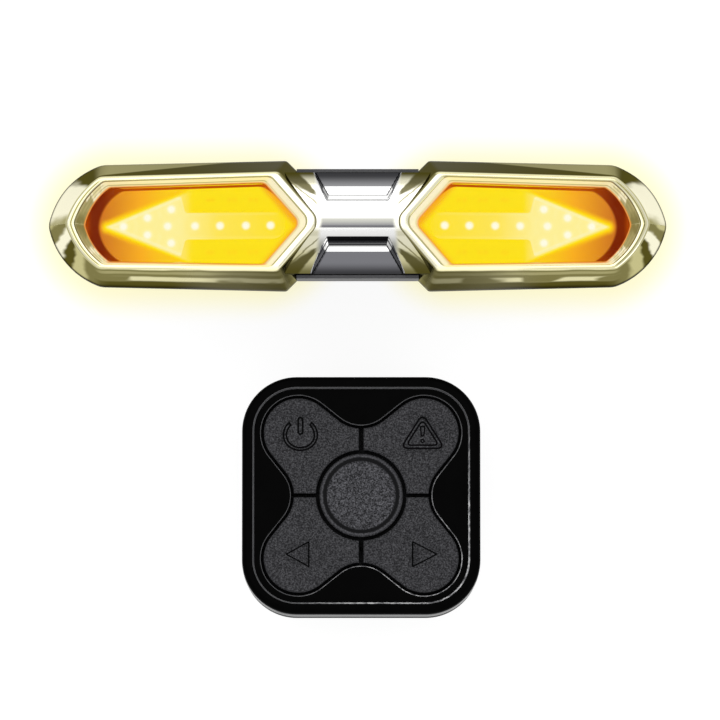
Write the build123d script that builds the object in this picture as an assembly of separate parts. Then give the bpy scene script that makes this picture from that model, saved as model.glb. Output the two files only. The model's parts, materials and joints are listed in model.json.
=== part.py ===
"""Bicycle tail light with turn arrows, and the square wireless remote of its set.

Both lie face up, side by side: +Z is the way the faces look, +X runs along the light,
and +Y is up a seat post. The table is at z = 0 and the origin is under the pair's middle.
"""
from build123d import *
from math import acos, cos, degrees, radians, sin, sqrt, tan
import os

os.makedirs("parts", exist_ok=True)

# Plan of the light, measured from its centre
HALF_LENGTH = 51.82
SHOULDER_X = 11.9
SHOULDER_Y = 10.97
END_LENGTH = 8.92
WING_END_Y = 10.25
END_BULGE = 1.85
BRIDGE_HALF = 8.5
BRIDGE_SHELL_HALF = 9.2
BRIDGE_REACH = 10.2
BRIDGE_TOP_REACH = 12.6
BRIDGE_OVERLAP = 0.3
WING_ROOT_X = 1.0

# How far each corner of a wing's loop slides for each millimetre that the loop is drawn in
CHEVRON_SLIDE = 1.4
SHOULDER_SLIDE = 0.5
END_SLIDE = 0.4
TIP_SLIDE = 1.1

# Corner rounds of a wing's loops: chevron point, two shoulders, two end corners, tip
OUTLINE_ROUNDS = (2.0, 0.8, 0.8, 4.0, 4.0, 3.0)
RIM_ROUNDS = (2.6, 1.6, 1.6, 2.6, 2.6, 2.2)
WINDOW_ROUNDS = (1.5, 1.5, 1.5, 1.6, 1.6, 1.2)

# Bezel: side slope, crest of the rim, bevel down to the window
SKIRT = 1.2
SIDE_RUN = 2.72
TIP_RUN = 2.95
CHEVRON_RUN = 5.2
SHOULDER_RUN = 1.4
END_RUN = 0.3
END_SIDE_RUN = 2.6
RIM_BULGE = 1.39
CREST_FLAT = 0.66
RIM_BAND = 1.4
TIP_BAND = 2.9
CHEVRON_BAND = 2.5
SHOULDER_BAND = 2.6
END_BAND = 1.0
RIM_BEVEL_DEPTH = 2.4
CREST_ROOT_Z = 8.3
WING_DROP = 4.4
BRIDGE_CROWN_Z = 7.95
BRIDGE_EDGE_Z = 5.6
RECESS_FLOOR_Z = 4.8
RECESS_TOP_HALF = 8.9
RECESS_INNER_HALF = 5.2
RECESS_DRAFT = 1.2
RECESS_PAST = 0.4
RIDGE_HALF = 3.1
RIDGE_FOOT = 4.65
BRIDGE_POCKET_X = 5.0
BEZEL_WALL = 1.6

# Window stack, as depths under the crest
LENS_DEPTH = 2.7
SHELF_DEPTH = 3.8
LENS_FLANGE = 1.0
LENS_LAP = 0.75
LENS_GAP = 0.12
POCKET_GAP = 0.15
REFLECTOR_DEPTH = 2.7
REFLECTOR_FLOOR = 1.0
FLOOR_TIP_RUN = 2.3
FLOOR_CHEVRON_RUN = 2.2
FLOOR_SIDE_RUN = 0.3
FLOOR_SHOULDER_RUN = 0.6
FLOOR_END_RUN = 1.84
WINDOW_BULGE = 1.02
FLOOR_BULGE = 0.92
GUIDE_THICK = 0.7
LED_BOARD_THICK = 1.0
LED_BOARD_GAP = 0.1

# Arrow and its lamps
ARROW_TIP_GAP = 4.1
ARROW_HEAD_LENGTH = 12.6
ARROW_STEP = 0.75
ARROW_BARB_Y = 5.1
ARROW_SHAFT_HALF = 2.2
ARROW_TAIL_GAP = 1.0
ARROW_TIP_ROUND = 0.2
ARROW_BARB_ROUND = 0.3
LED_RADIUS = 0.75
LED_HEIGHT = 1.35
LED_CHAMFER = 0.25
LED_HOLE_GAP = 0.1
LED_TAIL_INSET = 2.15
LED_ROW_COUNT = 4
LED_ROW_GAP = 4.13
LED_TIP_INSET = 2.87
LED_NECK_INSET = 6.92
LED_NECK_Y = 1.45
LED_HEAD_INSET = 10.97
LED_HEAD_Y = 2.85
LED_HEAD_STEP = 0.6

# Rear shell
SHELL_DEPTH = 9.5
SHELL_WALL = 1.6
SHELL_TAPER = 9.0
SHELL_ROUND = 1.8
LIP_RISE = 4.5
LIP_GAP = 0.12
GASKET_INSET = 0.62
GASKET_WIDTH = 0.58
GASKET_DEPTH = 0.6
SCREW_TIP_INSET = 3.15
SCREW_BRIDGE_X = 7.6
SCREW_BRIDGE_Y = 5.2
SCREW_RADIUS = 0.65
SCREW_HEAD_RADIUS = 1.4
SCREW_HEAD_HEIGHT = 1.1
SCREW_REACH = 3.0
SCREW_HEAD_DEPTH = 2.6
SCREW_HOLE_GAP = 0.2
SCREW_SLOT_LENGTH = 1.6
SCREW_SLOT_WIDTH = 0.45
SCREW_SLOT_DEPTH = 0.5
BOSS_WALL = 0.75
ROOT_LAP = 0.5
CUT_PAST = 1.0

# Inside the rear shell
BOARD_END_GAP = 4.9
BOARD_RIGHT_X = 11.0
BOARD_HALF_Y = 6.2
BOARD_THICK = 1.0
BOARD_GAP = 0.3
BOARD_TOP_Z = -3.3
POST_RADIUS = 1.2
POST_INSET = 1.8
POST_BUTTON_GAP = 6.8
POST_LAST_INSET = 10.0
RECEIVER_GAP = 7.0
RECEIVER_SIDE = 7.0
RECEIVER_HEIGHT = 0.9
CHARGER_GAP = 5.0
CHARGER_SIDE = 4.0
CHARGER_HEIGHT = 1.4
DRIVER_INSET = 12.5
DRIVER_Y = -1.5
DRIVER_WIDTH = 5.0
DRIVER_DEPTH = 6.0
CHOKE_INSET = 9.0
CHOKE_Y = 3.4
CHOKE_WIDTH = 3.2
CHOKE_DEPTH = 2.4
CHIP_HEIGHT = 1.2
BATTERY_BOARD_GAP = 1.5
BATTERY_END_GAP = 0.4
BATTERY_WIDTH = 12.0
BATTERY_THICK = 3.4
BATTERY_ROUND = 0.9
BUTTON_USB_GAP = 12.0
BUTTON_RADIUS = 4.0
BUTTON_GAP = 0.2
BUTTON_PROUD = 0.5
BUTTON_FLANGE = 0.8
BUTTON_FLANGE_THICK = 0.8
BUTTON_ROUND = 0.5
BUTTON_TRAVEL = 0.8
SWITCH_SIDE = 5.0
SWITCH_BODY = 1.2
SWITCH_STEM_RADIUS = 1.2
USB_INSET = 7.0
USB_WIDTH = 9.0
USB_HEIGHT = 3.3
USB_CORNER = 1.6
USB_WALL = 0.35
USB_BACK = 0.8
USB_GAP = 0.25
USB_BLADE_MARGIN = 1.3
USB_BLADE_THICK = 0.7
USB_BLADE_INSET = 0.6
FLAP_WIDTH = 12.4
FLAP_REACH = 3.8
FLAP_THICK = 1.2
FLAP_HINGE_Y = 5.0
FLAP_ROUND = 2.0
FLAP_TAB_HALF = 2.0
FLAP_TAB_REACH = 1.2
FLAP_TAB_THICK = 0.8
FLAP_TONGUE = 1.2
FLAP_TONGUE_HALF = 0.9
FLAP_TONGUE_CORNER = 0.85
FLAP_TONGUE_MARGIN = 0.6
ANCHOR_LENGTH = 2.2
ANCHOR_INSET = 1.5
HINGE_GAP = 0.3

# Seat post bracket under the light
POST_HOLD_RADIUS = 13.6
SADDLE_HALF_ANGLE = 62.0
PAD_THICK = 1.5
PAD_END_INSET = 0.5
SADDLE_LENGTH = 14.0
SADDLE_SHIFT = 0.8
BRACKET_WEB = 1.8
BRACKET_SHOULDER_X = 11.0
BRACKET_FOOT = 1.6
BRACKET_FOOT_HEIGHT = 2.5
RAIL_NECK = 4.4
RAIL_FLARE = 1.0
RAIL_DEPTH = 2.5
RAIL_GAP = 0.15
RAIL_FLOOR_GAP = 0.2
BRACKET_GAP = 0.3
CHANNEL_STOP = 1.8
HOOK_WIDTH = 4.0
HOOK_REACH = 2.4
HOOK_THICK = 1.4
HOOK_HEIGHT = 4.2
HOOK_SPREAD = 4.0
HOOK_ROOT_INSET = 0.4

# Remote case
REMOTE_SIDE = 40.0
REMOTE_CORNER = 9.2
REMOTE_WALL = 1.8
REMOTE_ROUND = 1.0
BOTTOM_ROUND = 1.6
PARTING_STEP = 0.1
LIP_INSET = 1.9
LIP_HEIGHT = 0.6
PANEL_THICK = 1.6
BAR_RADIUS = 11.1
BAR_HALF_ANGLE = 56.0
BAR_PAD = 1.2
BAR_BACK_GAP = 0.3
RIB_INNER_X = 12.6
RIB_THICK = 2.4
RIB_FOOT = 1.5
RIB_SPREAD = 2.0
FLOOR_THICK = 1.9
BOTTOM_DEPTH = 6.6
TOP_DEPTH = 5.2
RING_HOOK_WIDTH = 8.0
RING_HOOK_Y = 15.2
RING_HOOK_THICK = 1.8
RING_HOOK_REACH = 1.6
RING_HOOK_DROP = 4.4
RING_HOOK_TIP_THICK = 1.4

# Remote keys
LOBE_CENTRE = 10.55
LOBE_RADIUS = 6.3
WAIST_CENTRE = 17.5
WAIST_RADIUS = 5.7
KEY_GAP = 0.5
KEY_SLOT_X = 0.75
KEY_SLOT_Y = 0.6
KEY_FLANGE = 0.7
KEY_FLANGE_THICK = 1.0
KEY_FLANGE_GAP = 0.2
KEY_PROUD = 0.6
KEY_ROUND = 0.45
KEY_TRAVEL = 0.6
CENTRE_KEY_RADIUS = 7.0
CENTRE_GROOVE = 0.58
CENTRE_FLANGE = 1.6
CENTRE_CREST = 0.35
CENTRE_CREST_WIDTH = 0.3
CENTRE_DISH_RADIUS = 5.65
CENTRE_DISH_DEPTH = 0.55
CENTRE_DISH_RISE = 0.1
KEY_UNDERCUT_GAP = 0.4

# Inside the remote
MEMBRANE_THICK = 0.7
MEMBRANE_MARGIN = 0.9
MEMBRANE_GAP = 0.3
PLUNGER_RADIUS = 2.6
PLUNGER_GAP = 0.1
KEY_SWITCH_HEIGHT = 0.7
KEY_SWITCH_RADIUS = 2.0
SEAT_GAP = 0.1
REMOTE_BOARD_SIDE = 26.6
REMOTE_BOARD_THICK = 1.0
REMOTE_BOARD_ROUND = 2.0
CELL_RADIUS = 10.0
CELL_THICK = 3.2
CELL_CHAMFER = 0.4
LEAF_LENGTH = 8.0
LEAF_WIDTH = 3.0
LEAF_THICK = 0.25
LEAF_Y = 4.5
DOOR_RADIUS = 12.0
DOOR_THICK = 0.9
DOOR_GAP = 0.2
DOOR_SPIGOT_RADIUS = 11.1
DOOR_SPIGOT_WALL = 0.8
DOOR_SPIGOT_HEIGHT = 1.8
DOOR_LUG = 1.1
DOOR_LUG_THICK = 0.7
DOOR_LUG_ANGLE = 22.0
DOOR_LUG_COUNT = 3
DOOR_TWIST = 30.0
COIN_SLOT_LENGTH = 13.0
COIN_SLOT_WIDTH = 1.9
COIN_SLOT_DEPTH = 0.5
SEAL_WIDTH = 0.5
SEAL_THICK = 0.5
WELL_WALL = 0.8
WELL_GAP = 0.3
CASE_SCREW_Y = 15.8
CASE_SCREW_X = 16.9
CASE_SCREW_RADIUS = 0.75
CASE_SCREW_HEAD = 1.6
CASE_SCREW_HEAD_HEIGHT = 1.0
CASE_BOSS_RADIUS = 2.1
CASE_SCREW_LENGTH = 7.6
CASE_SLOT_LENGTH = 1.8
CASE_SLOT_WIDTH = 0.5
CASE_SLOT_DEPTH = 0.5

# How the two lie together
PAIR_GAP = 13.9
REMOTE_OFFSET_X = 0.6

# Worked out: places of the light
light_y = (2 * SHOULDER_Y + PAIR_GAP + REMOTE_SIDE) / 2 - SHOULDER_Y
remote_y = light_y - SHOULDER_Y - PAIR_GAP - REMOTE_SIDE / 2
post_axis_z = -POST_HOLD_RADIUS * cos(radians(SADDLE_HALF_ANGLE))
channel_floor_z = post_axis_z + POST_HOLD_RADIUS + PAD_THICK + BRACKET_WEB
shell_back_z = channel_floor_z + RAIL_FLOOR_GAP + RAIL_DEPTH
parting_z = shell_back_z + SHELL_DEPTH
bracket_top_z = shell_back_z - BRACKET_GAP

# Worked out: bezel loops
wing_end_x = HALF_LENGTH - END_LENGTH
rim_inner_x = WING_ROOT_X + CHEVRON_RUN
rim_shoulder = (SHOULDER_X + SHOULDER_RUN, SHOULDER_Y - SIDE_RUN)
rim_end = (wing_end_x - END_RUN, WING_END_Y - END_SIDE_RUN)
rim_tip_x = HALF_LENGTH - TIP_RUN
window_inner_x = rim_inner_x + CHEVRON_BAND
window_shoulder = (rim_shoulder[0] + SHOULDER_BAND, rim_shoulder[1] - RIM_BAND)
window_end = (rim_end[0] - END_BAND, rim_end[1] - RIM_BAND)
window_tip_x = rim_tip_x - TIP_BAND

# Worked out: arrow and lamps
floor_inner_x = window_inner_x + FLOOR_CHEVRON_RUN
arrow_tip_x = window_tip_x - ARROW_TIP_GAP
arrow_barb_x = arrow_tip_x - ARROW_HEAD_LENGTH
arrow_back_x = arrow_barb_x - ARROW_STEP
arrow_tail_x = floor_inner_x + ARROW_TAIL_GAP
led_first_x = arrow_tail_x + LED_TAIL_INSET
led_head_x = arrow_tip_x - LED_HEAD_INSET
led_neck_x = arrow_tip_x - LED_NECK_INSET
led_pitch = (led_head_x - LED_ROW_GAP - led_first_x) / (LED_ROW_COUNT - 1)

# Worked out: depths under the crest
flange_bottom = SHELF_DEPTH + LENS_FLANGE
reflector_bottom = flange_bottom + REFLECTOR_DEPTH
floor_depth = reflector_bottom - REFLECTOR_FLOOR
board_depth = reflector_bottom + LED_BOARD_THICK
screw_tip_x = HALF_LENGTH - SCREW_TIP_INSET
screw_places = [(side * screw_tip_x, 0) for side in (-1, 1)]
screw_places += [(i * SCREW_BRIDGE_X, j * SCREW_BRIDGE_Y) for i in (-1, 1) for j in (-1, 1)]

# Worked out: places inside the rear shell
board_left_x = BOARD_END_GAP - wing_end_x
usb_x = board_left_x + USB_INSET
button_x = usb_x + BUTTON_USB_GAP
battery_left_x = BOARD_RIGHT_X + BATTERY_BOARD_GAP
battery_right_x = wing_end_x - BATTERY_END_GAP
post_y = BOARD_HALF_Y - POST_INSET
post_columns = (board_left_x + POST_INSET, button_x + POST_BUTTON_GAP, BOARD_RIGHT_X - POST_LAST_INSET)
post_places = [(x, j * post_y) for x in post_columns for j in (-1, 1)]

# Worked out: levels of the remote
bar_axis_z = -BAR_RADIUS * cos(radians(BAR_HALF_ANGLE))
case_back_z = bar_axis_z + BAR_RADIUS + BAR_PAD + BAR_BACK_GAP
case_floor_z = case_back_z + FLOOR_THICK
case_parting_z = case_back_z + BOTTOM_DEPTH
panel_top_z = case_parting_z + TOP_DEPTH
panel_under_z = panel_top_z - PANEL_THICK
lip_top_z = panel_top_z + LIP_HEIGHT
key_top_z = panel_top_z + KEY_PROUD
key_flange_top_z = panel_under_z - KEY_FLANGE_GAP
key_bottom_z = key_flange_top_z - KEY_FLANGE_THICK
plunger_top_z = key_bottom_z - KEY_TRAVEL - PLUNGER_GAP
door_top_z = case_back_z + DOOR_THICK
cell_top_z = door_top_z + CELL_THICK
membrane_top_z = plunger_top_z - MEMBRANE_THICK
membrane_bottom_z = membrane_top_z - MEMBRANE_THICK
board_top_z = membrane_bottom_z - SEAT_GAP - KEY_SWITCH_HEIGHT
board_bottom_z = board_top_z - REMOTE_BOARD_THICK
lobe_places = [(i * LOBE_CENTRE, j * LOBE_CENTRE) for i in (-1, 1) for j in (-1, 1)]
case_screw_places = [(0, CASE_SCREW_Y), (0, -CASE_SCREW_Y), (CASE_SCREW_X, 0), (-CASE_SCREW_X, 0)]

wing_plane = Plane(
    origin=(rim_inner_x, 0, CREST_ROOT_Z),
    x_dir=(cos(radians(WING_DROP)), 0, -sin(radians(WING_DROP))),
    z_dir=(sin(radians(WING_DROP)), 0, cos(radians(WING_DROP))),
)


# Helpers

def on_wing(shape, depth):
    """Lay a flat shape, drawn from the light's centre, on the right wing at a depth under the crest."""
    return wing_plane * Pos(-rim_inner_x, 0, -depth) * shape


def other_wing(shape):
    return mirror(shape, about=Plane.YZ)


def place_light(shape):
    return Pos(0, light_y, parting_z) * shape


def place_remote(shape):
    return Pos(REMOTE_OFFSET_X, remote_y, 0) * shape


def cylinder(x, y, radius, bottom, top):
    return Pos(x, y, bottom) * extrude(Circle(radius), top - bottom)


def block(x0, x1, y0, y1, z0, z1):
    return Pos(x0, y0, z0) * Box(x1 - x0, y1 - y0, z1 - z0, align=(Align.MIN, Align.MIN, Align.MIN))


def wing_face(inner_x, shoulder, end, tip_x, bulge, rounds):
    """A wing's outline pointing to +X: two chevron edges, two long edges and a pointed round end."""
    end_x, end_y = end
    out = Vector(end_y, tip_x - end_x).normalized() * bulge
    middle = ((end_x + tip_x) / 2 + out.X, end_y / 2 + out.Y)
    half = Line((inner_x, 0), shoulder) + Line(shoulder, end) + ThreePointArc(end, middle, (tip_x, 0))
    face = make_face(half + mirror(half, about=Plane.XZ))
    corners = [(inner_x, 0), shoulder, (shoulder[0], -shoulder[1]), end, (end_x, -end_y), (tip_x, 0)]
    for corner, radius in zip(corners, rounds):
        vertex = face.vertices().sort_by_distance((*corner, 0))[0]
        face = fillet(vertex, radius)
    return face


def drawn_in(inner_x, shoulder, end, tip_x, bulge, rounds, inset):
    """A wing's face with every corner slid inwards for the inset."""
    return wing_face(
        inner_x + inset * CHEVRON_SLIDE, (shoulder[0] + inset * SHOULDER_SLIDE, shoulder[1] - inset),
        (end[0] - inset * END_SLIDE, end[1] - inset), tip_x - inset * TIP_SLIDE, bulge, rounds)


def outline_face(inset=0.0):
    """The wing's outline at the parting, drawn in by an inset."""
    return drawn_in(WING_ROOT_X, (SHOULDER_X, SHOULDER_Y), (wing_end_x, WING_END_Y), HALF_LENGTH,
                    END_BULGE, OUTLINE_ROUNDS, inset)


def rim_face(inset=0.0):
    """The rim's crest outline, drawn in by an inset."""
    return drawn_in(rim_inner_x, rim_shoulder, rim_end, rim_tip_x, RIM_BULGE, RIM_ROUNDS, inset)


def window_face():
    return wing_face(window_inner_x, window_shoulder, window_end, window_tip_x, WINDOW_BULGE, WINDOW_ROUNDS)


def reflector_floor_face():
    return wing_face(
        floor_inner_x, (window_shoulder[0] + FLOOR_SHOULDER_RUN, window_shoulder[1] - FLOOR_SIDE_RUN),
        (window_end[0] - FLOOR_END_RUN, window_end[1] - FLOOR_SIDE_RUN), window_tip_x - FLOOR_TIP_RUN,
        FLOOR_BULGE, WINDOW_ROUNDS)


def wing_slab(face, top_depth, bottom_depth):
    """A straight slab of a face on the right wing between two depths under the crest."""
    return wing_plane * Pos(-rim_inner_x, 0, -bottom_depth) * extrude(face, bottom_depth - top_depth)


# Bezel

def bezel_wing():
    return loft([outline_face(), Pos(0, 0, SKIRT) * outline_face(), on_wing(rim_face(), 0)], ruled=True)


def bezel_bridge():
    """The bridge between the wings: crowned across, straight at its sides, its ends run into the chevrons."""
    upper, lower = (BRIDGE_HALF, BRIDGE_EDGE_Z), (-BRIDGE_HALF, BRIDGE_EDGE_Z)
    edge = Polyline(lower, (-BRIDGE_HALF, 0), (BRIDGE_HALF, 0), upper)
    edge += ThreePointArc(upper, (0, BRIDGE_CROWN_Z), lower)
    return extrude(Plane.YZ * make_face(edge), BRIDGE_TOP_REACH, both=True)


def bridge_recess():
    """The drafted trapezoid pressed into the bridge's upper half."""
    outer_y = BRIDGE_SHELL_HALF + RECESS_PAST

    def trapezoid(outer_half, inner_half, inner_y):
        return make_face(Polyline((-outer_half, outer_y), (outer_half, outer_y),
                                  (inner_half, inner_y), (-inner_half, inner_y), close=True))
    top = trapezoid(RECESS_TOP_HALF, RECESS_INNER_HALF, RIDGE_HALF)
    floor = trapezoid(RECESS_TOP_HALF - RECESS_DRAFT, RECESS_INNER_HALF - RECESS_DRAFT, RIDGE_FOOT)
    top_z = BRIDGE_CROWN_Z + RECESS_PAST
    return loft([Pos(0, 0, RECESS_FLOOR_Z) * floor, Pos(0, 0, top_z) * top], ruled=True)


def window_cut():
    """What the bezel loses at one window: the bevel, the window and the pocket that takes the lens."""
    bevel = loft([on_wing(window_face(), RIM_BEVEL_DEPTH), on_wing(rim_face(CREST_FLAT), 0)], ruled=True)
    above = wing_slab(rim_face(CREST_FLAT), -CUT_PAST, 0)
    window = wing_slab(window_face(), RIM_BEVEL_DEPTH, SHELF_DEPTH)
    pocket = wing_slab(offset(window_face(), LENS_LAP + POCKET_GAP), SHELF_DEPTH, SHELF_DEPTH + CREST_ROOT_Z)
    return bevel + above + window + pocket


def bezel():
    wing = bezel_wing() - window_cut()
    body = bezel_bridge() - bridge_recess() - mirror(bridge_recess(), about=Plane.XZ)
    body -= block(-BRIDGE_POCKET_X, BRIDGE_POCKET_X, BEZEL_WALL - BRIDGE_HALF, BRIDGE_HALF - BEZEL_WALL,
                  -CUT_PAST, RECESS_FLOOR_Z - BEZEL_WALL)
    body = body - window_cut() - other_wing(window_cut()) + wing + other_wing(wing)
    for x, y in screw_places:
        body -= cylinder(x, y, SCREW_RADIUS, -CUT_PAST, SCREW_REACH + SCREW_HOLE_GAP)
    return body


# Windows, reflectors and lamps of one wing

def lens():
    plug = wing_slab(offset(window_face(), -LENS_GAP), LENS_DEPTH, SHELF_DEPTH)
    return plug + wing_slab(offset(window_face(), LENS_LAP), SHELF_DEPTH, flange_bottom)


def led_places():
    row = [(led_first_x + i * led_pitch, 0) for i in range(LED_ROW_COUNT)]
    head = [(led_head_x, LED_HEAD_Y), (led_head_x + LED_HEAD_STEP, 0), (led_head_x, -LED_HEAD_Y)]
    neck = [(led_neck_x, LED_NECK_Y), (led_neck_x, -LED_NECK_Y)]
    return row + head + neck + [(arrow_tip_x - LED_TIP_INSET, 0)]


def led_holes():
    return Sketch() + [Pos(x, y) * Circle(LED_RADIUS + LED_HOLE_GAP) for x, y in led_places()]


def reflector():
    """The tray behind a window, steep along its sides and sloped at its two ends."""
    tray = wing_slab(offset(window_face(), LENS_LAP), flange_bottom, reflector_bottom)
    floor, mouth = on_wing(reflector_floor_face(), floor_depth), on_wing(window_face(), flange_bottom)
    tray -= loft([floor, mouth], ruled=True)
    return tray - wing_slab(led_holes(), floor_depth - CUT_PAST, reflector_bottom + CUT_PAST)


def arrow_face():
    """The arrow: a wide head, a step back to the shaft, and a round tail."""
    head = make_face(Polyline(
        (arrow_tip_x, 0), (arrow_barb_x, ARROW_BARB_Y), (arrow_back_x, ARROW_SHAFT_HALF),
        (arrow_back_x, -ARROW_SHAFT_HALF), (arrow_barb_x, -ARROW_BARB_Y), close=True))
    head = fillet(head.vertices().sort_by(Axis.X)[-1], ARROW_TIP_ROUND)
    head = fillet(head.vertices().group_by(Axis.Y)[-1] + head.vertices().group_by(Axis.Y)[0], ARROW_BARB_ROUND)
    round_x = arrow_tail_x + ARROW_SHAFT_HALF
    shaft = Pos((round_x + arrow_back_x) / 2, 0) * Rectangle(arrow_back_x - round_x, 2 * ARROW_SHAFT_HALF)
    return head + shaft + Pos(round_x, 0) * Circle(ARROW_SHAFT_HALF)


def arrow_guide():
    plate = wing_slab(arrow_face() & reflector_floor_face(), floor_depth - GUIDE_THICK, floor_depth)
    return plate - wing_slab(led_holes(), floor_depth - GUIDE_THICK - CUT_PAST, floor_depth + CUT_PAST)


def leds():
    """Ten round lamps standing on the board of one wing, through the floor and the arrow."""
    one = chamfer(extrude(Circle(LED_RADIUS), LED_HEIGHT).faces().sort_by(Axis.Z)[-1].edges(), LED_CHAMFER)
    return [wing_plane * Pos(x - rim_inner_x, y, -reflector_bottom) * one for x, y in led_places()]


def led_board():
    return wing_slab(offset(window_face(), LENS_LAP - LED_BOARD_GAP), reflector_bottom, board_depth)


# Rear shell

def bridge_face(inset=0.0):
    return Rectangle(2 * (BRIDGE_REACH + BRIDGE_OVERLAP), 2 * (BRIDGE_SHELL_HALF - inset))


def shell_face(inset=0.0):
    """Both wings and the bridge in one outline, drawn in by an inset."""
    wing = outline_face(inset)
    return wing + mirror(wing, about=Plane.YZ) + bridge_face(inset)


def shell_cup(inset, depth, edge):
    """The tapered form under the outline, with a rounded back edge of three flats."""
    bend = edge * (1 - sin(radians(45)))
    steps = [(0, 0), (depth - edge, 0), (depth - bend, bend), (depth, edge)]
    levels = [(-down, inset + down * tan(radians(SHELL_TAPER)) + extra) for down, extra in steps]
    wing = loft([Pos(0, 0, z) * outline_face(run) for z, run in levels], ruled=True)
    bridge = loft([Pos(0, 0, z) * bridge_face(run) for z, run in levels], ruled=True)
    return wing + other_wing(wing) + bridge


def bridge_lip():
    """The raised lip that shows as a gray band along both edges of the bridge."""
    inner = BRIDGE_HALF + LIP_GAP
    strip = block(-BRIDGE_REACH, BRIDGE_REACH, inner, BRIDGE_SHELL_HALF, 0, LIP_RISE)
    strip -= bezel_wing() + other_wing(bezel_wing())
    return strip + mirror(strip, about=Plane.XZ)


def screw_tubes(radius, bottom, top):
    return Part() + [cylinder(x, y, radius, bottom, top) for x, y in screw_places]


def rear_shell():
    outside = shell_cup(0, SHELL_DEPTH, SHELL_ROUND)
    hollow = shell_cup(SHELL_WALL, SHELL_DEPTH - SHELL_WALL, SHELL_ROUND / 2)
    tubes = screw_tubes(SCREW_HEAD_RADIUS + SCREW_HOLE_GAP + BOSS_WALL, -SHELL_DEPTH, 0) & outside
    body = outside - hollow + tubes
    for x, y in post_places:
        body += cylinder(x, y, POST_RADIUS, SHELL_WALL - SHELL_DEPTH - ROOT_LAP, BOARD_TOP_Z - BOARD_THICK)
    body -= screw_tubes(SCREW_RADIUS + SCREW_HOLE_GAP, -SHELL_DEPTH, CUT_PAST)
    body -= screw_tubes(SCREW_HEAD_RADIUS + SCREW_HOLE_GAP, -SHELL_DEPTH - CUT_PAST, -SCREW_HEAD_DEPTH)
    back_cut = (-SHELL_DEPTH - CUT_PAST, CUT_PAST - SHELL_DEPTH + SHELL_WALL)
    body -= cylinder(button_x, 0, BUTTON_RADIUS + BUTTON_GAP, *back_cut)
    usb_half_x, usb_half_y = USB_WIDTH / 2 + USB_GAP, USB_HEIGHT / 2 + USB_GAP
    body -= block(usb_x - usb_half_x, usb_x + usb_half_x, -usb_half_y, usb_half_y, *back_cut)
    body -= gasket()
    return body + bridge_lip() + dovetail_rail()


def dovetail_face(neck, depth):
    """The dovetail's section in XZ, hanging from z = 0."""
    foot = neck + RAIL_FLARE * depth / RAIL_DEPTH
    return make_face(Polyline((-neck, 0), (neck, 0), (foot, -depth), (-foot, -depth), close=True))


def dovetail_rail():
    """The rail on the back, from the channel's stop to the bracket's upper end."""
    rail = extrude(Plane.XZ * dovetail_face(RAIL_NECK, RAIL_DEPTH), CHANNEL_STOP - SADDLE_LENGTH)
    return Pos(0, SADDLE_SHIFT + CHANNEL_STOP - SADDLE_LENGTH / 2, -SHELL_DEPTH) * rail


def gasket():
    ring = shell_face(GASKET_INSET) - shell_face(GASKET_INSET + GASKET_WIDTH)
    return Pos(0, 0, -GASKET_DEPTH) * extrude(ring, GASKET_DEPTH)


def cross_slot(length, width, depth):
    return Box(length, width, 2 * depth) + Box(width, length, 2 * depth)


def screw(shank, tip, head, bottom, under_head, slot):
    """A screw standing on its head: shank radius and tip level, head radius and levels, cross slot."""
    body = cylinder(0, 0, shank, under_head, tip) + cylinder(0, 0, head, bottom, under_head)
    return body - Pos(0, 0, bottom) * slot


def rear_screws():
    slot = cross_slot(SCREW_SLOT_LENGTH, SCREW_SLOT_WIDTH, SCREW_SLOT_DEPTH)
    one = screw(SCREW_RADIUS, SCREW_REACH, SCREW_HEAD_RADIUS,
                -SCREW_HEAD_DEPTH - SCREW_HEAD_HEIGHT, -SCREW_HEAD_DEPTH, slot)
    return [Pos(x, y) * one for x, y in screw_places]


# Inside the rear shell

def main_board():
    """The board over the posts, notched round the screw bosses of the bridge."""
    board = block(board_left_x, BOARD_RIGHT_X, -BOARD_HALF_Y, BOARD_HALF_Y,
                  BOARD_TOP_Z - BOARD_THICK, BOARD_TOP_Z)
    return board - screw_tubes(SCREW_HEAD_RADIUS + SCREW_HOLE_GAP + BOSS_WALL + BOARD_GAP, -SHELL_DEPTH, 0)


def board_parts():
    """Receiver, drive chips and choke, standing on the main board."""
    places = [
        (usb_x + RECEIVER_GAP, 0, RECEIVER_SIDE, RECEIVER_SIDE, RECEIVER_HEIGHT),
        (button_x + CHARGER_GAP, 0, CHARGER_SIDE, CHARGER_SIDE, CHARGER_HEIGHT),
        (BOARD_RIGHT_X - DRIVER_INSET, DRIVER_Y, DRIVER_WIDTH, DRIVER_DEPTH, CHIP_HEIGHT),
        (BOARD_RIGHT_X - CHOKE_INSET, CHOKE_Y, CHOKE_WIDTH, CHOKE_DEPTH, CHIP_HEIGHT)]
    return [Pos(x - width / 2, y - depth / 2, BOARD_TOP_Z) * block(0, width, 0, depth, 0, height)
            for x, y, width, depth, height in places]


def battery():
    bottom = SHELL_WALL - SHELL_DEPTH + SEAT_GAP
    pouch = block(battery_left_x, battery_right_x, -BATTERY_WIDTH / 2, BATTERY_WIDTH / 2,
                  bottom, bottom + BATTERY_THICK)
    return fillet(pouch.edges().filter_by(Axis.X), BATTERY_ROUND)


def tact_switch():
    top = BOARD_TOP_Z - BOARD_THICK
    stem_z = button_top_z() + BUTTON_TRAVEL + SEAT_GAP
    body = block(button_x - SWITCH_SIDE / 2, button_x + SWITCH_SIDE / 2, -SWITCH_SIDE / 2, SWITCH_SIDE / 2,
                 top - SWITCH_BODY, top)
    return body + cylinder(button_x, 0, SWITCH_STEM_RADIUS, stem_z, top - SWITCH_BODY)


def button_top_z():
    return SHELL_WALL - SHELL_DEPTH + BUTTON_GAP + BUTTON_FLANGE_THICK


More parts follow.
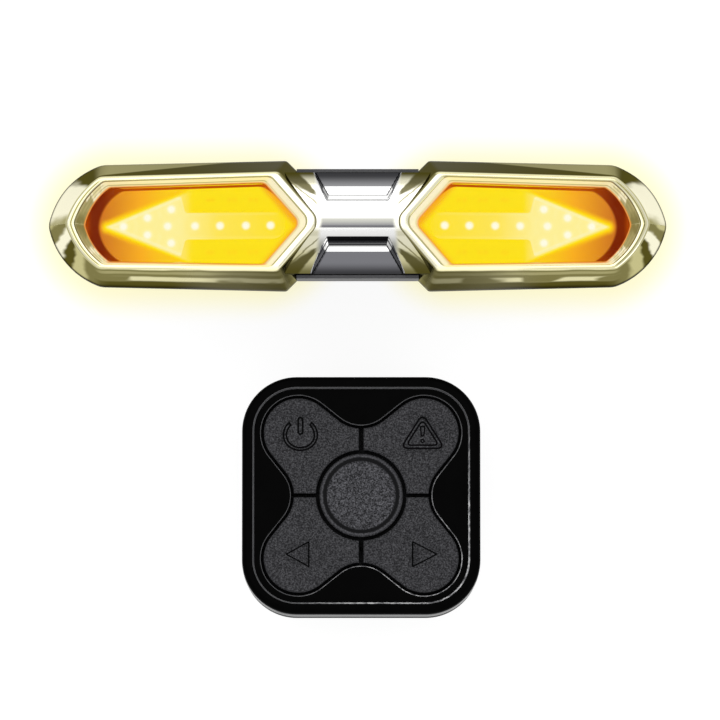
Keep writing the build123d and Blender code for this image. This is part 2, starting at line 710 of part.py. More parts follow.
def power_button():
    """A round push button on the back, held in by its flange."""
    cap = cylinder(button_x, 0, BUTTON_RADIUS, -SHELL_DEPTH - BUTTON_PROUD, button_top_z())
    cap = fillet(cap.faces().sort_by(Axis.Z)[0].edges(), BUTTON_ROUND)
    return cap + cylinder(button_x, 0, BUTTON_RADIUS + BUTTON_FLANGE,
                          button_top_z() - BUTTON_FLANGE_THICK, button_top_z())


def usb_socket():
    """A charging socket that hangs from the board and looks out of the back."""
    bottom = -SHELL_DEPTH + FLAP_TONGUE + SEAT_GAP
    height = BOARD_TOP_Z - BOARD_THICK - bottom
    outer = RectangleRounded(USB_WIDTH, USB_HEIGHT, USB_CORNER)
    inner = RectangleRounded(USB_WIDTH - 2 * USB_WALL, USB_HEIGHT - 2 * USB_WALL, USB_CORNER - USB_WALL)
    blade = Rectangle(USB_WIDTH - 2 * USB_BLADE_MARGIN, USB_BLADE_THICK)
    body = extrude(outer, height) - extrude(inner, height - USB_BACK)
    body += Pos(0, 0, USB_BLADE_INSET) * extrude(blade, height - USB_BLADE_INSET)
    return Pos(usb_x, 0, bottom) * body


def usb_cover():
    """The flap over the socket: its hinge line runs along X at the flap's +Y edge."""
    top = -SHELL_DEPTH - SEAT_GAP
    flap = block(usb_x - FLAP_WIDTH / 2, usb_x + FLAP_WIDTH / 2, -FLAP_REACH, FLAP_HINGE_Y,
                 top - FLAP_THICK, top)
    flap = fillet(flap.edges().filter_by(Axis.Z).group_by(Axis.Y)[0], FLAP_ROUND)
    tab = block(usb_x - FLAP_TAB_HALF, usb_x + FLAP_TAB_HALF, -FLAP_REACH - FLAP_TAB_REACH, -FLAP_REACH,
                top - FLAP_TAB_THICK, top)
    plug = RectangleRounded(USB_WIDTH - 2 * FLAP_TONGUE_MARGIN, 2 * FLAP_TONGUE_HALF, FLAP_TONGUE_CORNER)
    return flap + tab + Pos(usb_x, 0, top) * extrude(plug, FLAP_TONGUE + SEAT_GAP)


def cover_anchor():
    """The flap's rubber root, keyed into the back beside the hinge line."""
    near_y = FLAP_HINGE_Y + HINGE_GAP
    half = FLAP_WIDTH / 2 - ANCHOR_INSET
    return block(usb_x - half, usb_x + half, near_y, near_y + ANCHOR_LENGTH,
                 -SHELL_DEPTH - FLAP_THICK, -SHELL_DEPTH)


# Seat post bracket, in the frame of the table under the light

def arc_band(inner, outer, half_angle, axis_z):
    """The band between two arcs about a level axis, in the XZ section."""
    def at(radius, angle):
        return (radius * sin(radians(angle)), axis_z + radius * cos(radians(angle)))
    edge = ThreePointArc(at(inner, -half_angle), at(inner, 0), at(inner, half_angle))
    edge += Line(at(inner, half_angle), at(outer, half_angle))
    edge += ThreePointArc(at(outer, half_angle), at(outer, 0), at(outer, -half_angle))
    edge += Line(at(outer, -half_angle), at(inner, -half_angle))
    return make_face(edge)


def along_y(face, length):
    """Extrude an XZ section evenly to both sides along Y."""
    return extrude(Plane.XZ * face, length / 2, both=True)


def above_table():
    return block(-HALF_LENGTH, HALF_LENGTH, -HALF_LENGTH, HALF_LENGTH, 0, HALF_LENGTH)


def bracket_pad():
    """The rubber that lines the saddle."""
    pad = along_y(arc_band(POST_HOLD_RADIUS, POST_HOLD_RADIUS + PAD_THICK, SADDLE_HALF_ANGLE, post_axis_z),
                  SADDLE_LENGTH - 2 * PAD_END_INSET)
    return pad & above_table()


def bracket_hook(side, y):
    """An outward hook near the foot that takes an elastic ring."""
    root = POST_HOLD_RADIUS * sin(radians(SADDLE_HALF_ANGLE)) + PAD_THICK
    tip = root + BRACKET_FOOT + HOOK_REACH
    arm = block(root + HOOK_ROOT_INSET, tip, y - HOOK_WIDTH / 2, y + HOOK_WIDTH / 2, 0, HOOK_THICK)
    arm += block(tip - HOOK_THICK, tip, y - HOOK_WIDTH / 2, y + HOOK_WIDTH / 2, 0, HOOK_HEIGHT)
    return arm if side > 0 else other_wing(arm)


def bracket():
    """The saddle that straps to a seat post, with a dovetail channel for the light."""
    root = POST_HOLD_RADIUS * sin(radians(SADDLE_HALF_ANGLE)) + PAD_THICK
    foot = root + BRACKET_FOOT
    section = make_face(Polyline(
        (-foot, 0), (foot, 0), (foot, BRACKET_FOOT_HEIGHT),
        (BRACKET_SHOULDER_X, bracket_top_z), (-BRACKET_SHOULDER_X, bracket_top_z),
        (-foot, BRACKET_FOOT_HEIGHT), close=True))
    section -= Pos(0, post_axis_z) * Circle(POST_HOLD_RADIUS + PAD_THICK)
    body = along_y(section, SADDLE_LENGTH)
    channel = Pos(0, bracket_top_z - channel_floor_z) * dovetail_face(
        RAIL_NECK + RAIL_GAP + RAIL_FLARE * BRACKET_GAP / RAIL_DEPTH, bracket_top_z - channel_floor_z)
    channel = Plane.XZ * Pos(0, channel_floor_z) * channel
    body -= Pos(0, CHANNEL_STOP - SADDLE_LENGTH / 2, 0) * extrude(channel, -SADDLE_LENGTH)
    for side in (-1, 1):
        for y in (-HOOK_SPREAD, HOOK_SPREAD):
            body += bracket_hook(side, y)
    return body


# Remote case

def case_face(inset=0.0):
    side = REMOTE_SIDE - 2 * inset
    return RectangleRounded(side, side, REMOTE_CORNER - inset)


def tangent_points(lobe, waist):
    """Where the straight edge from a lobe's circle to a waist's circle touches both."""
    apart = Vector(*waist) - Vector(*lobe)
    turn = degrees(acos((LOBE_RADIUS + WAIST_RADIUS) / apart.length))
    way = apart.normalized().rotate(Axis.Z, turn)
    return Vector(*lobe) + way * LOBE_RADIUS, Vector(*waist) - way * WAIST_RADIUS


def keypad_face():
    """The X shaped opening: four lobes, and between them four waists drawn in."""
    lobe = (LOBE_CENTRE, LOBE_CENTRE)
    on_lobe, on_waist = tangent_points(lobe, (WAIST_CENTRE, 0))
    far_lobe, far_waist = Vector(on_lobe.Y, on_lobe.X), Vector(on_waist.Y, on_waist.X)
    waist_x = WAIST_CENTRE - WAIST_RADIUS
    reach = LOBE_CENTRE + LOBE_RADIUS / sqrt(2)
    waist_turn = degrees(acos((WAIST_CENTRE - on_waist.X) / WAIST_RADIUS))
    waist_middle = Vector(WAIST_CENTRE, 0) - Vector(WAIST_RADIUS, 0).rotate(Axis.Z, -waist_turn / 2)
    far_middle = Vector(waist_middle.Y, waist_middle.X)
    quarter = ThreePointArc((waist_x, 0), waist_middle, on_waist) + Line(on_waist, on_lobe)
    quarter += ThreePointArc(on_lobe, (reach, reach), far_lobe) + Line(far_lobe, far_waist)
    quarter += ThreePointArc(far_waist, far_middle, (0, waist_x))
    half = quarter + mirror(quarter, about=Plane.YZ)
    return make_face(half + mirror(half, about=Plane.XZ))


def top_case():
    outside = Pos(0, 0, case_parting_z) * extrude(case_face(), lip_top_z - case_parting_z)
    outside = fillet(outside.faces().sort_by(Axis.Z)[-1].edges(), REMOTE_ROUND)
    body = outside - Pos(0, 0, panel_top_z) * extrude(case_face(LIP_INSET), LIP_HEIGHT + CUT_PAST)
    hollow = extrude(case_face(REMOTE_WALL), panel_under_z - case_parting_z + CUT_PAST)
    body -= Pos(0, 0, case_parting_z - CUT_PAST) * hollow
    for x, y in case_screw_places:
        body += cylinder(x, y, CASE_BOSS_RADIUS, case_parting_z, panel_under_z)
        body -= cylinder(x, y, CASE_SCREW_RADIUS, case_parting_z - CUT_PAST, case_screw_top() + SEAT_GAP)
    opening = Pos(0, 0, panel_under_z - CUT_PAST) * extrude(keypad_face(), PANEL_THICK + 2 * CUT_PAST)
    return body - opening


def case_screw_top():
    return case_back_z + CASE_SCREW_HEAD_HEIGHT + CASE_SCREW_LENGTH


def saddle_rib(x):
    """A rib across the back whose curved edge sits on a handlebar."""
    root = BAR_RADIUS * sin(radians(BAR_HALF_ANGLE)) + BAR_PAD + RIB_FOOT
    top_z = case_back_z + ROOT_LAP
    section = make_face(Polyline((-root, 0), (root, 0), (root + RIB_SPREAD, top_z),
                                 (-root - RIB_SPREAD, top_z), close=True))
    section -= Pos(0, bar_axis_z) * Circle(BAR_RADIUS + BAR_PAD)
    return Pos(x, 0, 0) * extrude(Plane.YZ * section, RIB_THICK)


def ring_hook():
    """A hook on the back for an elastic ring round the handlebar, opening outwards."""
    half = RING_HOOK_WIDTH / 2
    low = case_back_z - RING_HOOK_DROP
    root_y = RING_HOOK_Y - RING_HOOK_THICK
    arm = block(-half, half, root_y, RING_HOOK_Y, low, case_back_z + ROOT_LAP)
    return arm + block(-half, half, root_y, RING_HOOK_Y + RING_HOOK_REACH, low, low + RING_HOOK_TIP_THICK)


def door_lugs(radius, bottom, top, turn):
    """The bayonet lugs of the battery door as sectors of a disc, turned by an angle."""
    lugs = Part()
    for i in range(DOOR_LUG_COUNT):
        start = i * 360 / DOOR_LUG_COUNT + turn - DOOR_LUG_ANGLE / 2
        sector = make_face(
            Line((0, 0), Vector(radius, 0).rotate(Axis.Z, start))
            + CenterArc((0, 0), radius, start, DOOR_LUG_ANGLE)
            + Line(Vector(radius, 0).rotate(Axis.Z, start + DOOR_LUG_ANGLE), (0, 0)))
        lugs += Pos(0, 0, bottom) * extrude(sector, top - bottom)
    return lugs


def bottom_case():
    """The lower case with its battery well, saddle ribs and ring hooks."""
    bulk = Pos(0, 0, case_back_z) * extrude(case_face(PARTING_STEP), BOTTOM_DEPTH)
    bulk = fillet(bulk.faces().sort_by(Axis.Z)[0].edges(), BOTTOM_ROUND)
    body = bulk - Pos(0, 0, case_floor_z) * extrude(case_face(REMOTE_WALL), BOTTOM_DEPTH)
    well = DOOR_SPIGOT_RADIUS + DOOR_LUG + WELL_GAP
    body += cylinder(0, 0, well + WELL_WALL, case_floor_z - ROOT_LAP, board_bottom_z)
    body -= cylinder(0, 0, well, case_floor_z, board_bottom_z + CUT_PAST)
    body -= cylinder(0, 0, DOOR_SPIGOT_RADIUS + DOOR_GAP, case_back_z - CUT_PAST, case_floor_z + CUT_PAST)
    body -= cylinder(0, 0, DOOR_RADIUS + DOOR_GAP, case_back_z - CUT_PAST, door_top_z + SEAL_THICK)
    for side in (-1, 1):
        body += saddle_rib(RIB_INNER_X if side > 0 else -RIB_INNER_X - RIB_THICK)
    body += ring_hook() + mirror(ring_hook(), about=Plane.XZ)
    for x, y in case_screw_places:
        body += cylinder(x, y, CASE_BOSS_RADIUS, case_floor_z - ROOT_LAP, case_parting_z)
        body -= cylinder(x, y, CASE_SCREW_RADIUS + SCREW_HOLE_GAP, case_back_z - CUT_PAST,
                         case_parting_z + CUT_PAST)
        body -= cylinder(x, y, CASE_SCREW_HEAD + SCREW_HOLE_GAP, case_back_z - CUT_PAST,
                         case_back_z + CASE_SCREW_HEAD_HEIGHT)
    lug_reach = DOOR_SPIGOT_RADIUS + DOOR_LUG + DOOR_GAP
    body -= door_lugs(lug_reach, case_back_z, case_floor_z + SEAT_GAP, DOOR_TWIST)
    return body


def remote_screws():
    slot = cross_slot(CASE_SLOT_LENGTH, CASE_SLOT_WIDTH, CASE_SLOT_DEPTH)
    one = screw(CASE_SCREW_RADIUS, case_screw_top(), CASE_SCREW_HEAD,
                case_back_z, case_back_z + CASE_SCREW_HEAD_HEIGHT, slot)
    return [Pos(x, y) * one for x, y in case_screw_places]


def saddle_pads():
    band = arc_band(BAR_RADIUS, BAR_RADIUS + BAR_PAD, BAR_HALF_ANGLE, bar_axis_z)
    strip = extrude(Plane.YZ * band, RIB_THICK) & above_table()
    return [Pos(RIB_INNER_X, 0, 0) * strip, Pos(-RIB_INNER_X - RIB_THICK, 0, 0) * strip]


# Remote keys

def petal_quarter(i, j):
    reach = REMOTE_SIDE / 2
    return Pos(i * (KEY_SLOT_X / 2 + reach / 2), j * (KEY_SLOT_Y / 2 + reach / 2)) * Rectangle(reach, reach)


def petal_key(i, j):
    """One of the four petals, with a flange under the panel and a step over the centre key's flange."""
    groove = CENTRE_KEY_RADIUS + CENTRE_GROOVE
    face = (offset(keypad_face(), -KEY_GAP) & petal_quarter(i, j)) - Circle(groove)
    flange = (offset(keypad_face(), KEY_FLANGE) & petal_quarter(i, j)) - Circle(groove)
    cap = Pos(0, 0, key_bottom_z) * extrude(face, key_top_z - key_bottom_z)
    cap = fillet(cap.faces().sort_by(Axis.Z)[-1].edges(), KEY_ROUND)
    key = cap + Pos(0, 0, key_bottom_z) * extrude(flange, KEY_FLANGE_THICK)
    return key - cylinder(0, 0, CENTRE_KEY_RADIUS + CENTRE_FLANGE + KEY_UNDERCUT_GAP,
                          key_bottom_z - CUT_PAST, key_flange_top_z + KEY_TRAVEL + SEAT_GAP)


def centre_key():
    """The round key with a raised crest and a dished top."""
    top = key_top_z
    crest = CENTRE_KEY_RADIUS - CENTRE_CREST
    dish = CENTRE_DISH_RADIUS
    profile = make_face(Polyline(
        (0, key_bottom_z), (CENTRE_KEY_RADIUS + CENTRE_FLANGE, key_bottom_z),
        (CENTRE_KEY_RADIUS + CENTRE_FLANGE, key_flange_top_z), (CENTRE_KEY_RADIUS, key_flange_top_z),
        (CENTRE_KEY_RADIUS, top - CENTRE_CREST), (crest, top), (crest - CENTRE_CREST_WIDTH, top),
        (dish, top - CENTRE_DISH_DEPTH + CENTRE_DISH_RISE), (0, top - CENTRE_DISH_DEPTH), close=True))
    return revolve(Plane.XZ * profile, Axis.Z)


# Inside the remote

def keypad_membrane():
    """The rubber sheet under the keys, with a plunger below each."""
    sheet = Pos(0, 0, membrane_bottom_z) * extrude(offset(keypad_face(), MEMBRANE_MARGIN), MEMBRANE_THICK)
    for x, y in lobe_places + [(0, 0)]:
        sheet += cylinder(x, y, PLUNGER_RADIUS, membrane_bottom_z, plunger_top_z)
    for x, y in case_screw_places:
        sheet -= cylinder(x, y, CASE_BOSS_RADIUS + MEMBRANE_GAP, membrane_bottom_z - CUT_PAST, plunger_top_z)
    return sheet


def remote_board():
    return Pos(0, 0, board_bottom_z) * extrude(
        RectangleRounded(REMOTE_BOARD_SIDE, REMOTE_BOARD_SIDE, REMOTE_BOARD_ROUND), REMOTE_BOARD_THICK)


def key_switches():
    return [cylinder(x, y, KEY_SWITCH_RADIUS, board_top_z, board_top_z + KEY_SWITCH_HEIGHT)
            for x, y in lobe_places + [(0, 0)]]


def coin_cell():
    rim = cylinder(0, 0, CELL_RADIUS, door_top_z, cell_top_z)
    return chamfer(rim.faces().sort_by(Axis.Z)[0].edges(), CELL_CHAMFER)


def cell_contacts():
    """Two leaf contacts between the board and the cell's upper face."""
    half_x, half_y = LEAF_LENGTH / 2, LEAF_WIDTH / 2
    leaf = block(-half_x, half_x, -half_y, half_y, cell_top_z, cell_top_z + LEAF_THICK)
    leaf += block(half_x - LEAF_THICK, half_x, -half_y, half_y, cell_top_z, board_bottom_z)
    return [Pos(0, side * LEAF_Y, 0) * leaf for side in (-1, 1)]


def battery_door():
    """The round door in the back, turned by a coin, with three bayonet lugs."""
    spigot_top = door_top_z + DOOR_SPIGOT_HEIGHT
    door = cylinder(0, 0, DOOR_RADIUS, case_back_z, door_top_z)
    door += cylinder(0, 0, DOOR_SPIGOT_RADIUS, door_top_z, spigot_top)
    lug_bottom = spigot_top - DOOR_LUG_THICK
    door += door_lugs(DOOR_SPIGOT_RADIUS + DOOR_LUG, lug_bottom, spigot_top, 0)
    door -= cylinder(0, 0, DOOR_SPIGOT_RADIUS - DOOR_SPIGOT_WALL, door_top_z, spigot_top + CUT_PAST)
    return door - Pos(0, 0, case_back_z) * Box(COIN_SLOT_LENGTH, COIN_SLOT_WIDTH, 2 * COIN_SLOT_DEPTH)


def door_seal():
    ring = Circle(DOOR_RADIUS) - Circle(DOOR_RADIUS - SEAL_WIDTH)
    return Pos(0, 0, door_top_z) * extrude(ring, SEAL_THICK)


# Export: one file per piece, groups of like pieces as one compound

def save(name, shape, place):
    solids = shape if isinstance(shape, list) else [shape]
    placed = [place(solid) for solid in solids]
    whole = placed[0] if len(placed) == 1 else Compound(children=[Part() + s for s in placed])
    export_step(whole, "parts/" + name + ".step")


def on_table_under_light(shape):
    return Pos(0, light_y + SADDLE_SHIFT, 0) * shape


wing_pieces = {"lens": lens(), "reflector": reflector(), "arrow_guide": arrow_guide(),
               "led_board": led_board(), "leds": leds()}
for piece, shape in wing_pieces.items():
    solids = shape if isinstance(shape, list) else [shape]
    save("right_" + piece, solids, place_light)
    save("left_" + piece, [other_wing(solid) for solid in solids], place_light)

light_pieces = {
    "bezel": bezel(), "rear_shell": rear_shell(), "gasket": gasket(), "rear_screws": rear_screws(),
    "main_board": main_board(), "board_parts": board_parts(), "battery": battery(),
    "tact_switch": tact_switch(), "power_button": power_button(), "usb_socket": usb_socket(),
    "usb_cover": usb_cover(), "cover_anchor": cover_anchor()}
for piece, shape in light_pieces.items():
    save(piece, shape, place_light)

save("bracket", bracket(), on_table_under_light)
save("bracket_pad", bracket_pad(), on_table_under_light)

remote_pieces = {
    "remote_top_case": top_case(), "remote_bottom_case": bottom_case(), "saddle_pads": saddle_pads(),
    "power_key": petal_key(-1, 1), "hazard_key": petal_key(1, 1), "left_key": petal_key(-1, -1),
    "right_key": petal_key(1, -1), "centre_key": centre_key(), "keypad_membrane": keypad_membrane(),
    "remote_board": remote_board(), "key_switches": key_switches(), "coin_cell": coin_cell(),
    "cell_contacts": cell_contacts(), "battery_door": battery_door(), "door_seal": door_seal(),
    "remote_screws": remote_screws()}
for piece, shape in remote_pieces.items():
    save(piece, shape, place_remote)
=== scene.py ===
"""Looks of the winged tail light and of the square remote that lies below it."""
import json
from math import cos, pi, radians, sin, sqrt, tan

import bmesh
import bpy
from mathutils import Matrix, Vector

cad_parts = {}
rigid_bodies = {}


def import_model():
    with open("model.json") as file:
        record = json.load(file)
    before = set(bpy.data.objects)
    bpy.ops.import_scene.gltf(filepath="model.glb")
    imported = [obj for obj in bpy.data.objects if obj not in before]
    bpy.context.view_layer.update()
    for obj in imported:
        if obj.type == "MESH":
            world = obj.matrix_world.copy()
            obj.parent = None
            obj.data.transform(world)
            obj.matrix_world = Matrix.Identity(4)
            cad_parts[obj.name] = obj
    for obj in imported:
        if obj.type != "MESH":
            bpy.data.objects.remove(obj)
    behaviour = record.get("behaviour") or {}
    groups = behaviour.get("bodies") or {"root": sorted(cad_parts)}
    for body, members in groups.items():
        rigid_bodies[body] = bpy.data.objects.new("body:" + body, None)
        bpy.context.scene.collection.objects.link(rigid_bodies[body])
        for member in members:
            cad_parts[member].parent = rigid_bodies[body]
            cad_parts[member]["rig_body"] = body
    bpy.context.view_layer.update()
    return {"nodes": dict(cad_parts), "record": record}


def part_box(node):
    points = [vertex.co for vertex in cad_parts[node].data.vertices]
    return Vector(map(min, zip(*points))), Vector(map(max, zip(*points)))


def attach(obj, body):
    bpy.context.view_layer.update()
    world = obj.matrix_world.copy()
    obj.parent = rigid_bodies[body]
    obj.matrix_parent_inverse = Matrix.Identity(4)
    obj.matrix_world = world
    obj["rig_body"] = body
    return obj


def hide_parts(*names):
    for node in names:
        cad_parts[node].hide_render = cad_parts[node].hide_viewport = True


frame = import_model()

MM = 0.001

# Camera: the photograph's frame is 720 pixels wide
PICTURE_PIXELS = 720
PIXELS_PER_MM = 5.94
CAMERA_ELEVATION = 84.5
CAMERA_DISTANCE = 1500.0
CAMERA_TARGET = (0.40, 5.23, 15.0)
SENSOR_WIDTH = 36.0

# Light, in millimetres from the middle of its parting plane
WING_DROP = 4.4
CREST_ROOT_X = 6.2
CREST_ROOT_Z = 8.3
SKIRT = 1.2
FLOOR_DEPTH = 6.5
ARROW_TIP_X = 42.6
ARROW_BARB_X = 30.2
ARROW_BARB_Y = 5.1
ARROW_NECK_X = 29.45
ARROW_TAIL_X = 12.6
ARROW_SHAFT_HALF = 2.2
ARROW_TOP_DEPTH = 5.85
ARROW_BOTTOM_DEPTH = 6.45
ARROW_ROUNDS = (2.1, 0.5, 0.45, 0.25, 0.45, 0.5, 2.1)
LED_ROW = (15.1, 19.25, 23.6, 27.8)
LED_HEAD = ((31.8, 2.85), (32.4, 0.0), (31.8, -2.85), (35.8, 1.45), (35.8, -1.45), (39.85, 0.0))
LED_RADIUS = 0.4
LED_FLATNESS = 0.3
REFLECTOR_DOTS = (17.5, 18.5, 21.1, 22.0, 24.9, 25.6)
REFLECTOR_DOT_Y = 4.4

# A wing's loops: inner vertex x, shoulder x and y, end corner x and y, tip x, bulge of the end, corner runs
OUTLINE = (1.0, 11.9, 10.97, 42.9, 10.25, 51.82, 1.85, 2.0, 0.4, 0.8, 0.8)
RIM = (6.2, 13.3, 8.25, 43.3, 7.65, 48.87, 0.8, 2.4, 0.7, 0.6, 0.6)
WINDOW = (9.9, 15.9, 6.85, 41.8, 6.25, 45.97, 0.66, 1.5, 0.7, 0.4, 0.4)
LEG_STEPS = (26, 30, 36)
ROUNDING_STEPS = 4

# A wing's section, from the window out: mm across, share of the drop to the skirt, and mm below that
RIM_ACROSS = 2.72
WINDOW_ACROSS = 4.12
SECTION = (
    (4.12, 0.0, 2.69), (4.12, 0.0, 2.45), (4.1, 0.0, 2.34), (3.9, 0.0, 1.69), (3.7, 0.0, 1.04),
    (3.5, 0.0, 0.4), (3.42, 0.0, 0.17), (3.36, 0.0, 0.05), (3.26, 0.0, 0.01), (3.05, 0.0, 0.0),
    (2.86, 0.0, 0.02), (2.76, 0.006, 0.05), (2.68, 0.025, 0.05), (2.5, 0.085, 0.02),
    (2.1, 0.23, 0.0), (1.6, 0.41, 0.0), (1.1, 0.595, 0.0), (0.6, 0.78, 0.0), (0.15, 0.94, 0.0),
    (0.0, 1.0, 0.05), (0.0, 1.0, 1.18))

# Bridge, crowned across, with its two recesses
BRIDGE_HALF = 8.5
BRIDGE_CROWN_Z = 7.95
BRIDGE_EDGE_Z = 5.6
BRIDGE_END_X = 7.0
BRIDGE_END_SPREAD = 0.66
RECESS_TOP_Z = 8.35
RECESS_FLOOR_Z = 4.8
RECESS_INNER_HALF = 5.2
RECESS_SPREAD = 0.57
RECESS_DRAFT = 1.2
RIDGE_HALF = 2.75
RIDGE_FOOT = 4.3
RIDGE_SHIFT = 0.5
BRIDGE_SKIRT_Z = 0.02
BRIDGE_GRID_X = 0.0857
BRIDGE_GRID_Y = 0.12

# Remote, in millimetres from the middle of its case; the gap of the power symbol in degrees
KEY_GROOVE_WIDTH = 0.24
BOLD_GROOVE_WIDTH = 0.3
KEY_GROOVE_DEPTH = 0.16
CUTTER_HEIGHT = 1.0
POWER_MIDDLE = (-10.2, 10.1)
POWER_RADII = (3.0, 2.2)
POWER_SQUASH = (0.9, 0.88)
POWER_GAP = 78.0
POWER_ARC_POINTS = 33
POWER_BAR_HALF = 0.52
POWER_BAR_LEVELS = (13.2, 10.15)
POWER_BAR_ROUND = 0.5
LEFT_TRIANGLE = ((-12.8, -9.9), (-8.65, -12.2), (-8.65, -7.6))
RIGHT_TRIANGLE = ((12.9, -9.9), (8.5, -7.6), (8.5, -12.2))
TURN_ROUND = 0.3

# Hazard symbol: each triangle's top, base, half width and corner cut, and the mark's half widths and levels
HAZARD_X = 10.3
HAZARD_TRIANGLES = ((14.0, 7.75, 3.95, 1.5), (13.0, 8.28, 3.0, 1.1))
HAZARD_MARK = ((0.5, 11.7), (0.32, 9.85))
HAZARD_MARK_ROUND = 0.28
HAZARD_DOT_Y = 9.15
HAZARD_DOT_RADIUS = 0.38

# Upper case and its chamfered edges, which carry a painted highlight
KEYS_ABOVE_PANEL = 0.6
CHAMFER_WIDTH = 0.13
EDGE_LEVEL_SLACK = 0.05
MERGE_DISTANCE = 0.001

# Tones of the plating's painted reflections: cream to olive on the wings, white to black on the bridge,
# painted into the colour in place of a studio reflected in the chrome
CREAM = "FBF4C2"
PALE_CREAM = "F2EED2"
SAND = "DDD7A9"
STRAW = "BFB984"
KHAKI = "A19B6C"
OLIVE = "7C7648"
DARK_OLIVE = "524C1C"
DEEP_OLIVE = "2F2B0E"
WHITE = "FDFDFC"
PEARL = "E0DCC0"
SILVER = "A8A8A0"
GRAY = "7A7A7C"
LEAD = "5E5E62"
PAINTED_SHADE_GRAY = "3C3C3E"
COAL = "2D2D2F"

# Tones of the lamps' light: the lamp domes' own glow, a painted glow on the tray and the arrows, and its
# painted reflection on the window's chrome edge
LAMP_YELLOW = "FDE21A"
DEEP_YELLOW = "FDD014"
AMBER = "F8AE22"
BURNT_ORANGE = "CB7023"
EDGE_AMBER = "E69A4A"
EDGE_ORANGE = "DE8030"
WALL_ORANGE = "E9701A"
WALL_BROWN = "B84E07"
WALL_RED = "7A2204"
PALE_YELLOW = "FDE65A"
ARROW_CREAM = "FDF2A2"
LAMP_WHITE = "FEFDEA"

# Plating, and where a painted glow stands in for the lamps' light on it
PLATING_ROUGHNESS = 0.14
PAINTED_GLOW_ROUGHNESS_RISE = 0.3
PAINTED_GLOW_METALLIC_LOSS = 0.85
PAINTED_GLOW_STRENGTH = 0.26

# Floor, with a painted yellow spill of light round the two wings
FLOOR_HALF = 6.0
FLOOR_DIMMING = 0.76
FLOOR_GLOW = 0.86
HALO_SHIFT = 2.4
HALO_INNER_X = 17.0
HALO_OUTER_X = 41.0
HALO_NEAR = 10.2
HALO_FAR = 17.0
HALO_TONE = "FEF9D2"
WORLD_STRENGTH = 0.8

light_low, light_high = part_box("bezel")
light_middle = (light_low + light_high) / 2
light_centre = Vector((light_middle.x, light_middle.y, light_low.z))
remote_low, remote_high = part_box("remote_top_case")
remote_middle = (remote_low + remote_high) / 2
remote_centre = Vector((remote_middle.x, remote_middle.y, remote_high.z))
key_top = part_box("power_key")[1].z


# Node trees

class Paint:
    """A material and short calls that add nodes to its tree."""

    def __init__(self, name):
        self.material = bpy.data.materials.new(name)
        self.material.use_nodes = True
        self.nodes = self.material.node_tree.nodes
        self.links = self.material.node_tree.links
        self.shader = self.nodes["Principled BSDF"]

    def put(self, value, socket):
        """Link a node's output, or set a number or colour."""
        if isinstance(value, bpy.types.NodeSocket):
            self.links.new(value, socket)
        else:
            socket.default_value = value

    def set(self, **sockets):
        for name, value in sockets.items():
            self.put(value, self.shader.inputs[name.replace("_", " ")])
        return self

    def coordinates(self, kind="Object"):
        return self.nodes.new("ShaderNodeTexCoord").outputs[kind]

    def attribute(self, name):
        node = self.nodes.new("ShaderNodeAttribute")
        node.attribute_name = name
        return node.outputs["Fac"]

    def parts(self, vector):
        node = self.nodes.new("ShaderNodeSeparateXYZ")
        self.links.new(vector, node.inputs[0])
        return node.outputs

    def from_parts(self, x, y, z):
        node = self.nodes.new("ShaderNodeCombineXYZ")
        for value, socket in zip((x, y, z), node.inputs):
            self.put(value, socket)
        return node.outputs[0]

    def math(self, operation, first, second=0.0, third=0.0):
        node = self.nodes.new("ShaderNodeMath")
        node.operation = operation
        for value, socket in zip((first, second, third), node.inputs):
            self.put(value, socket)
        return node.outputs[0]

    def length(self, x, y):
        node = self.nodes.new("ShaderNodeVectorMath")
        node.operation = "LENGTH"
        self.links.new(self.from_parts(x, y, 0.0), node.inputs[0])
        return node.outputs["Value"]

    def place(self, vector, centre, scale):
        """The vector from a centre, in units of a scale."""
        node = self.nodes.new("ShaderNodeMapping")
        node.vector_type = "POINT"
        self.links.new(vector, node.inputs["Vector"])
        node.inputs["Location"].default_value = [-c / s for c, s in zip(centre, scale)]
        node.inputs["Scale"].default_value = [1 / s for s in scale]
        return node.outputs[0]

    def step(self, value, low, high, smooth=True):
        """0 below low, 1 above high, and a smooth run between them."""
        node = self.nodes.new("ShaderNodeMapRange")
        node.interpolation_type = "SMOOTHSTEP" if smooth else "LINEAR"
        self.put(value, node.inputs["Value"])
        node.inputs["From Min"].default_value = low
        node.inputs["From Max"].default_value = high
        return node.outputs[0]

    def line(self, value, middle, half):
        """1 on a line of a value, falling to 0 half a width away."""
        away = self.math("ABSOLUTE", self.math("SUBTRACT", value, middle))
        return self.math("SUBTRACT", 1.0, self.step(away, half * 0.4, half))

    def bands(self, value, stops):
        """Colours laid out along a value, each as its place and its written colour."""
        low, high = stops[0][0], stops[-1][0]
        node = self.nodes.new("ShaderNodeValToRGB")
        elements = node.color_ramp.elements
        while len(elements) < len(stops):
            elements.new(0.5)
        for element, (place, code) in zip(elements, stops):
            element.position = (place - low) / (high - low)
            element.color = shade(code)
        self.put(self.step(value, low, high, False), node.inputs[0])
        return node.outputs[0]

    def mix(self, factor, first, second):
        node = self.nodes.new("ShaderNodeMix")
        node.data_type = "RGBA"
        self.put(factor, node.inputs["Factor"])
        self.put(first, node.inputs[6])
        self.put(second, node.inputs[7])
        return node.outputs[2]

    def coats(self, ground, *layers):
        """A ground with coats over it, each as its mask and its written tone."""
        if isinstance(ground, str):
            ground = shade(ground)
        for mask, code in layers:
            ground = self.mix(mask, ground, shade(code))
        return ground

    def noise(self, vector, scale, detail=2.0, roughness=0.5):
        node = self.nodes.new("ShaderNodeTexNoise")
        self.links.new(vector, node.inputs["Vector"])
        node.inputs["Scale"].default_value = scale
        node.inputs["Detail"].default_value = detail
        node.inputs["Roughness"].default_value = roughness
        return node.outputs["Fac"]

    def bump(self, height, depth, strength=1.0):
        node = self.nodes.new("ShaderNodeBump")
        node.inputs["Strength"].default_value = strength
        node.inputs["Distance"].default_value = depth
        self.links.new(height, node.inputs["Height"])
        self.links.new(node.outputs[0], self.shader.inputs["Normal"])
        return self


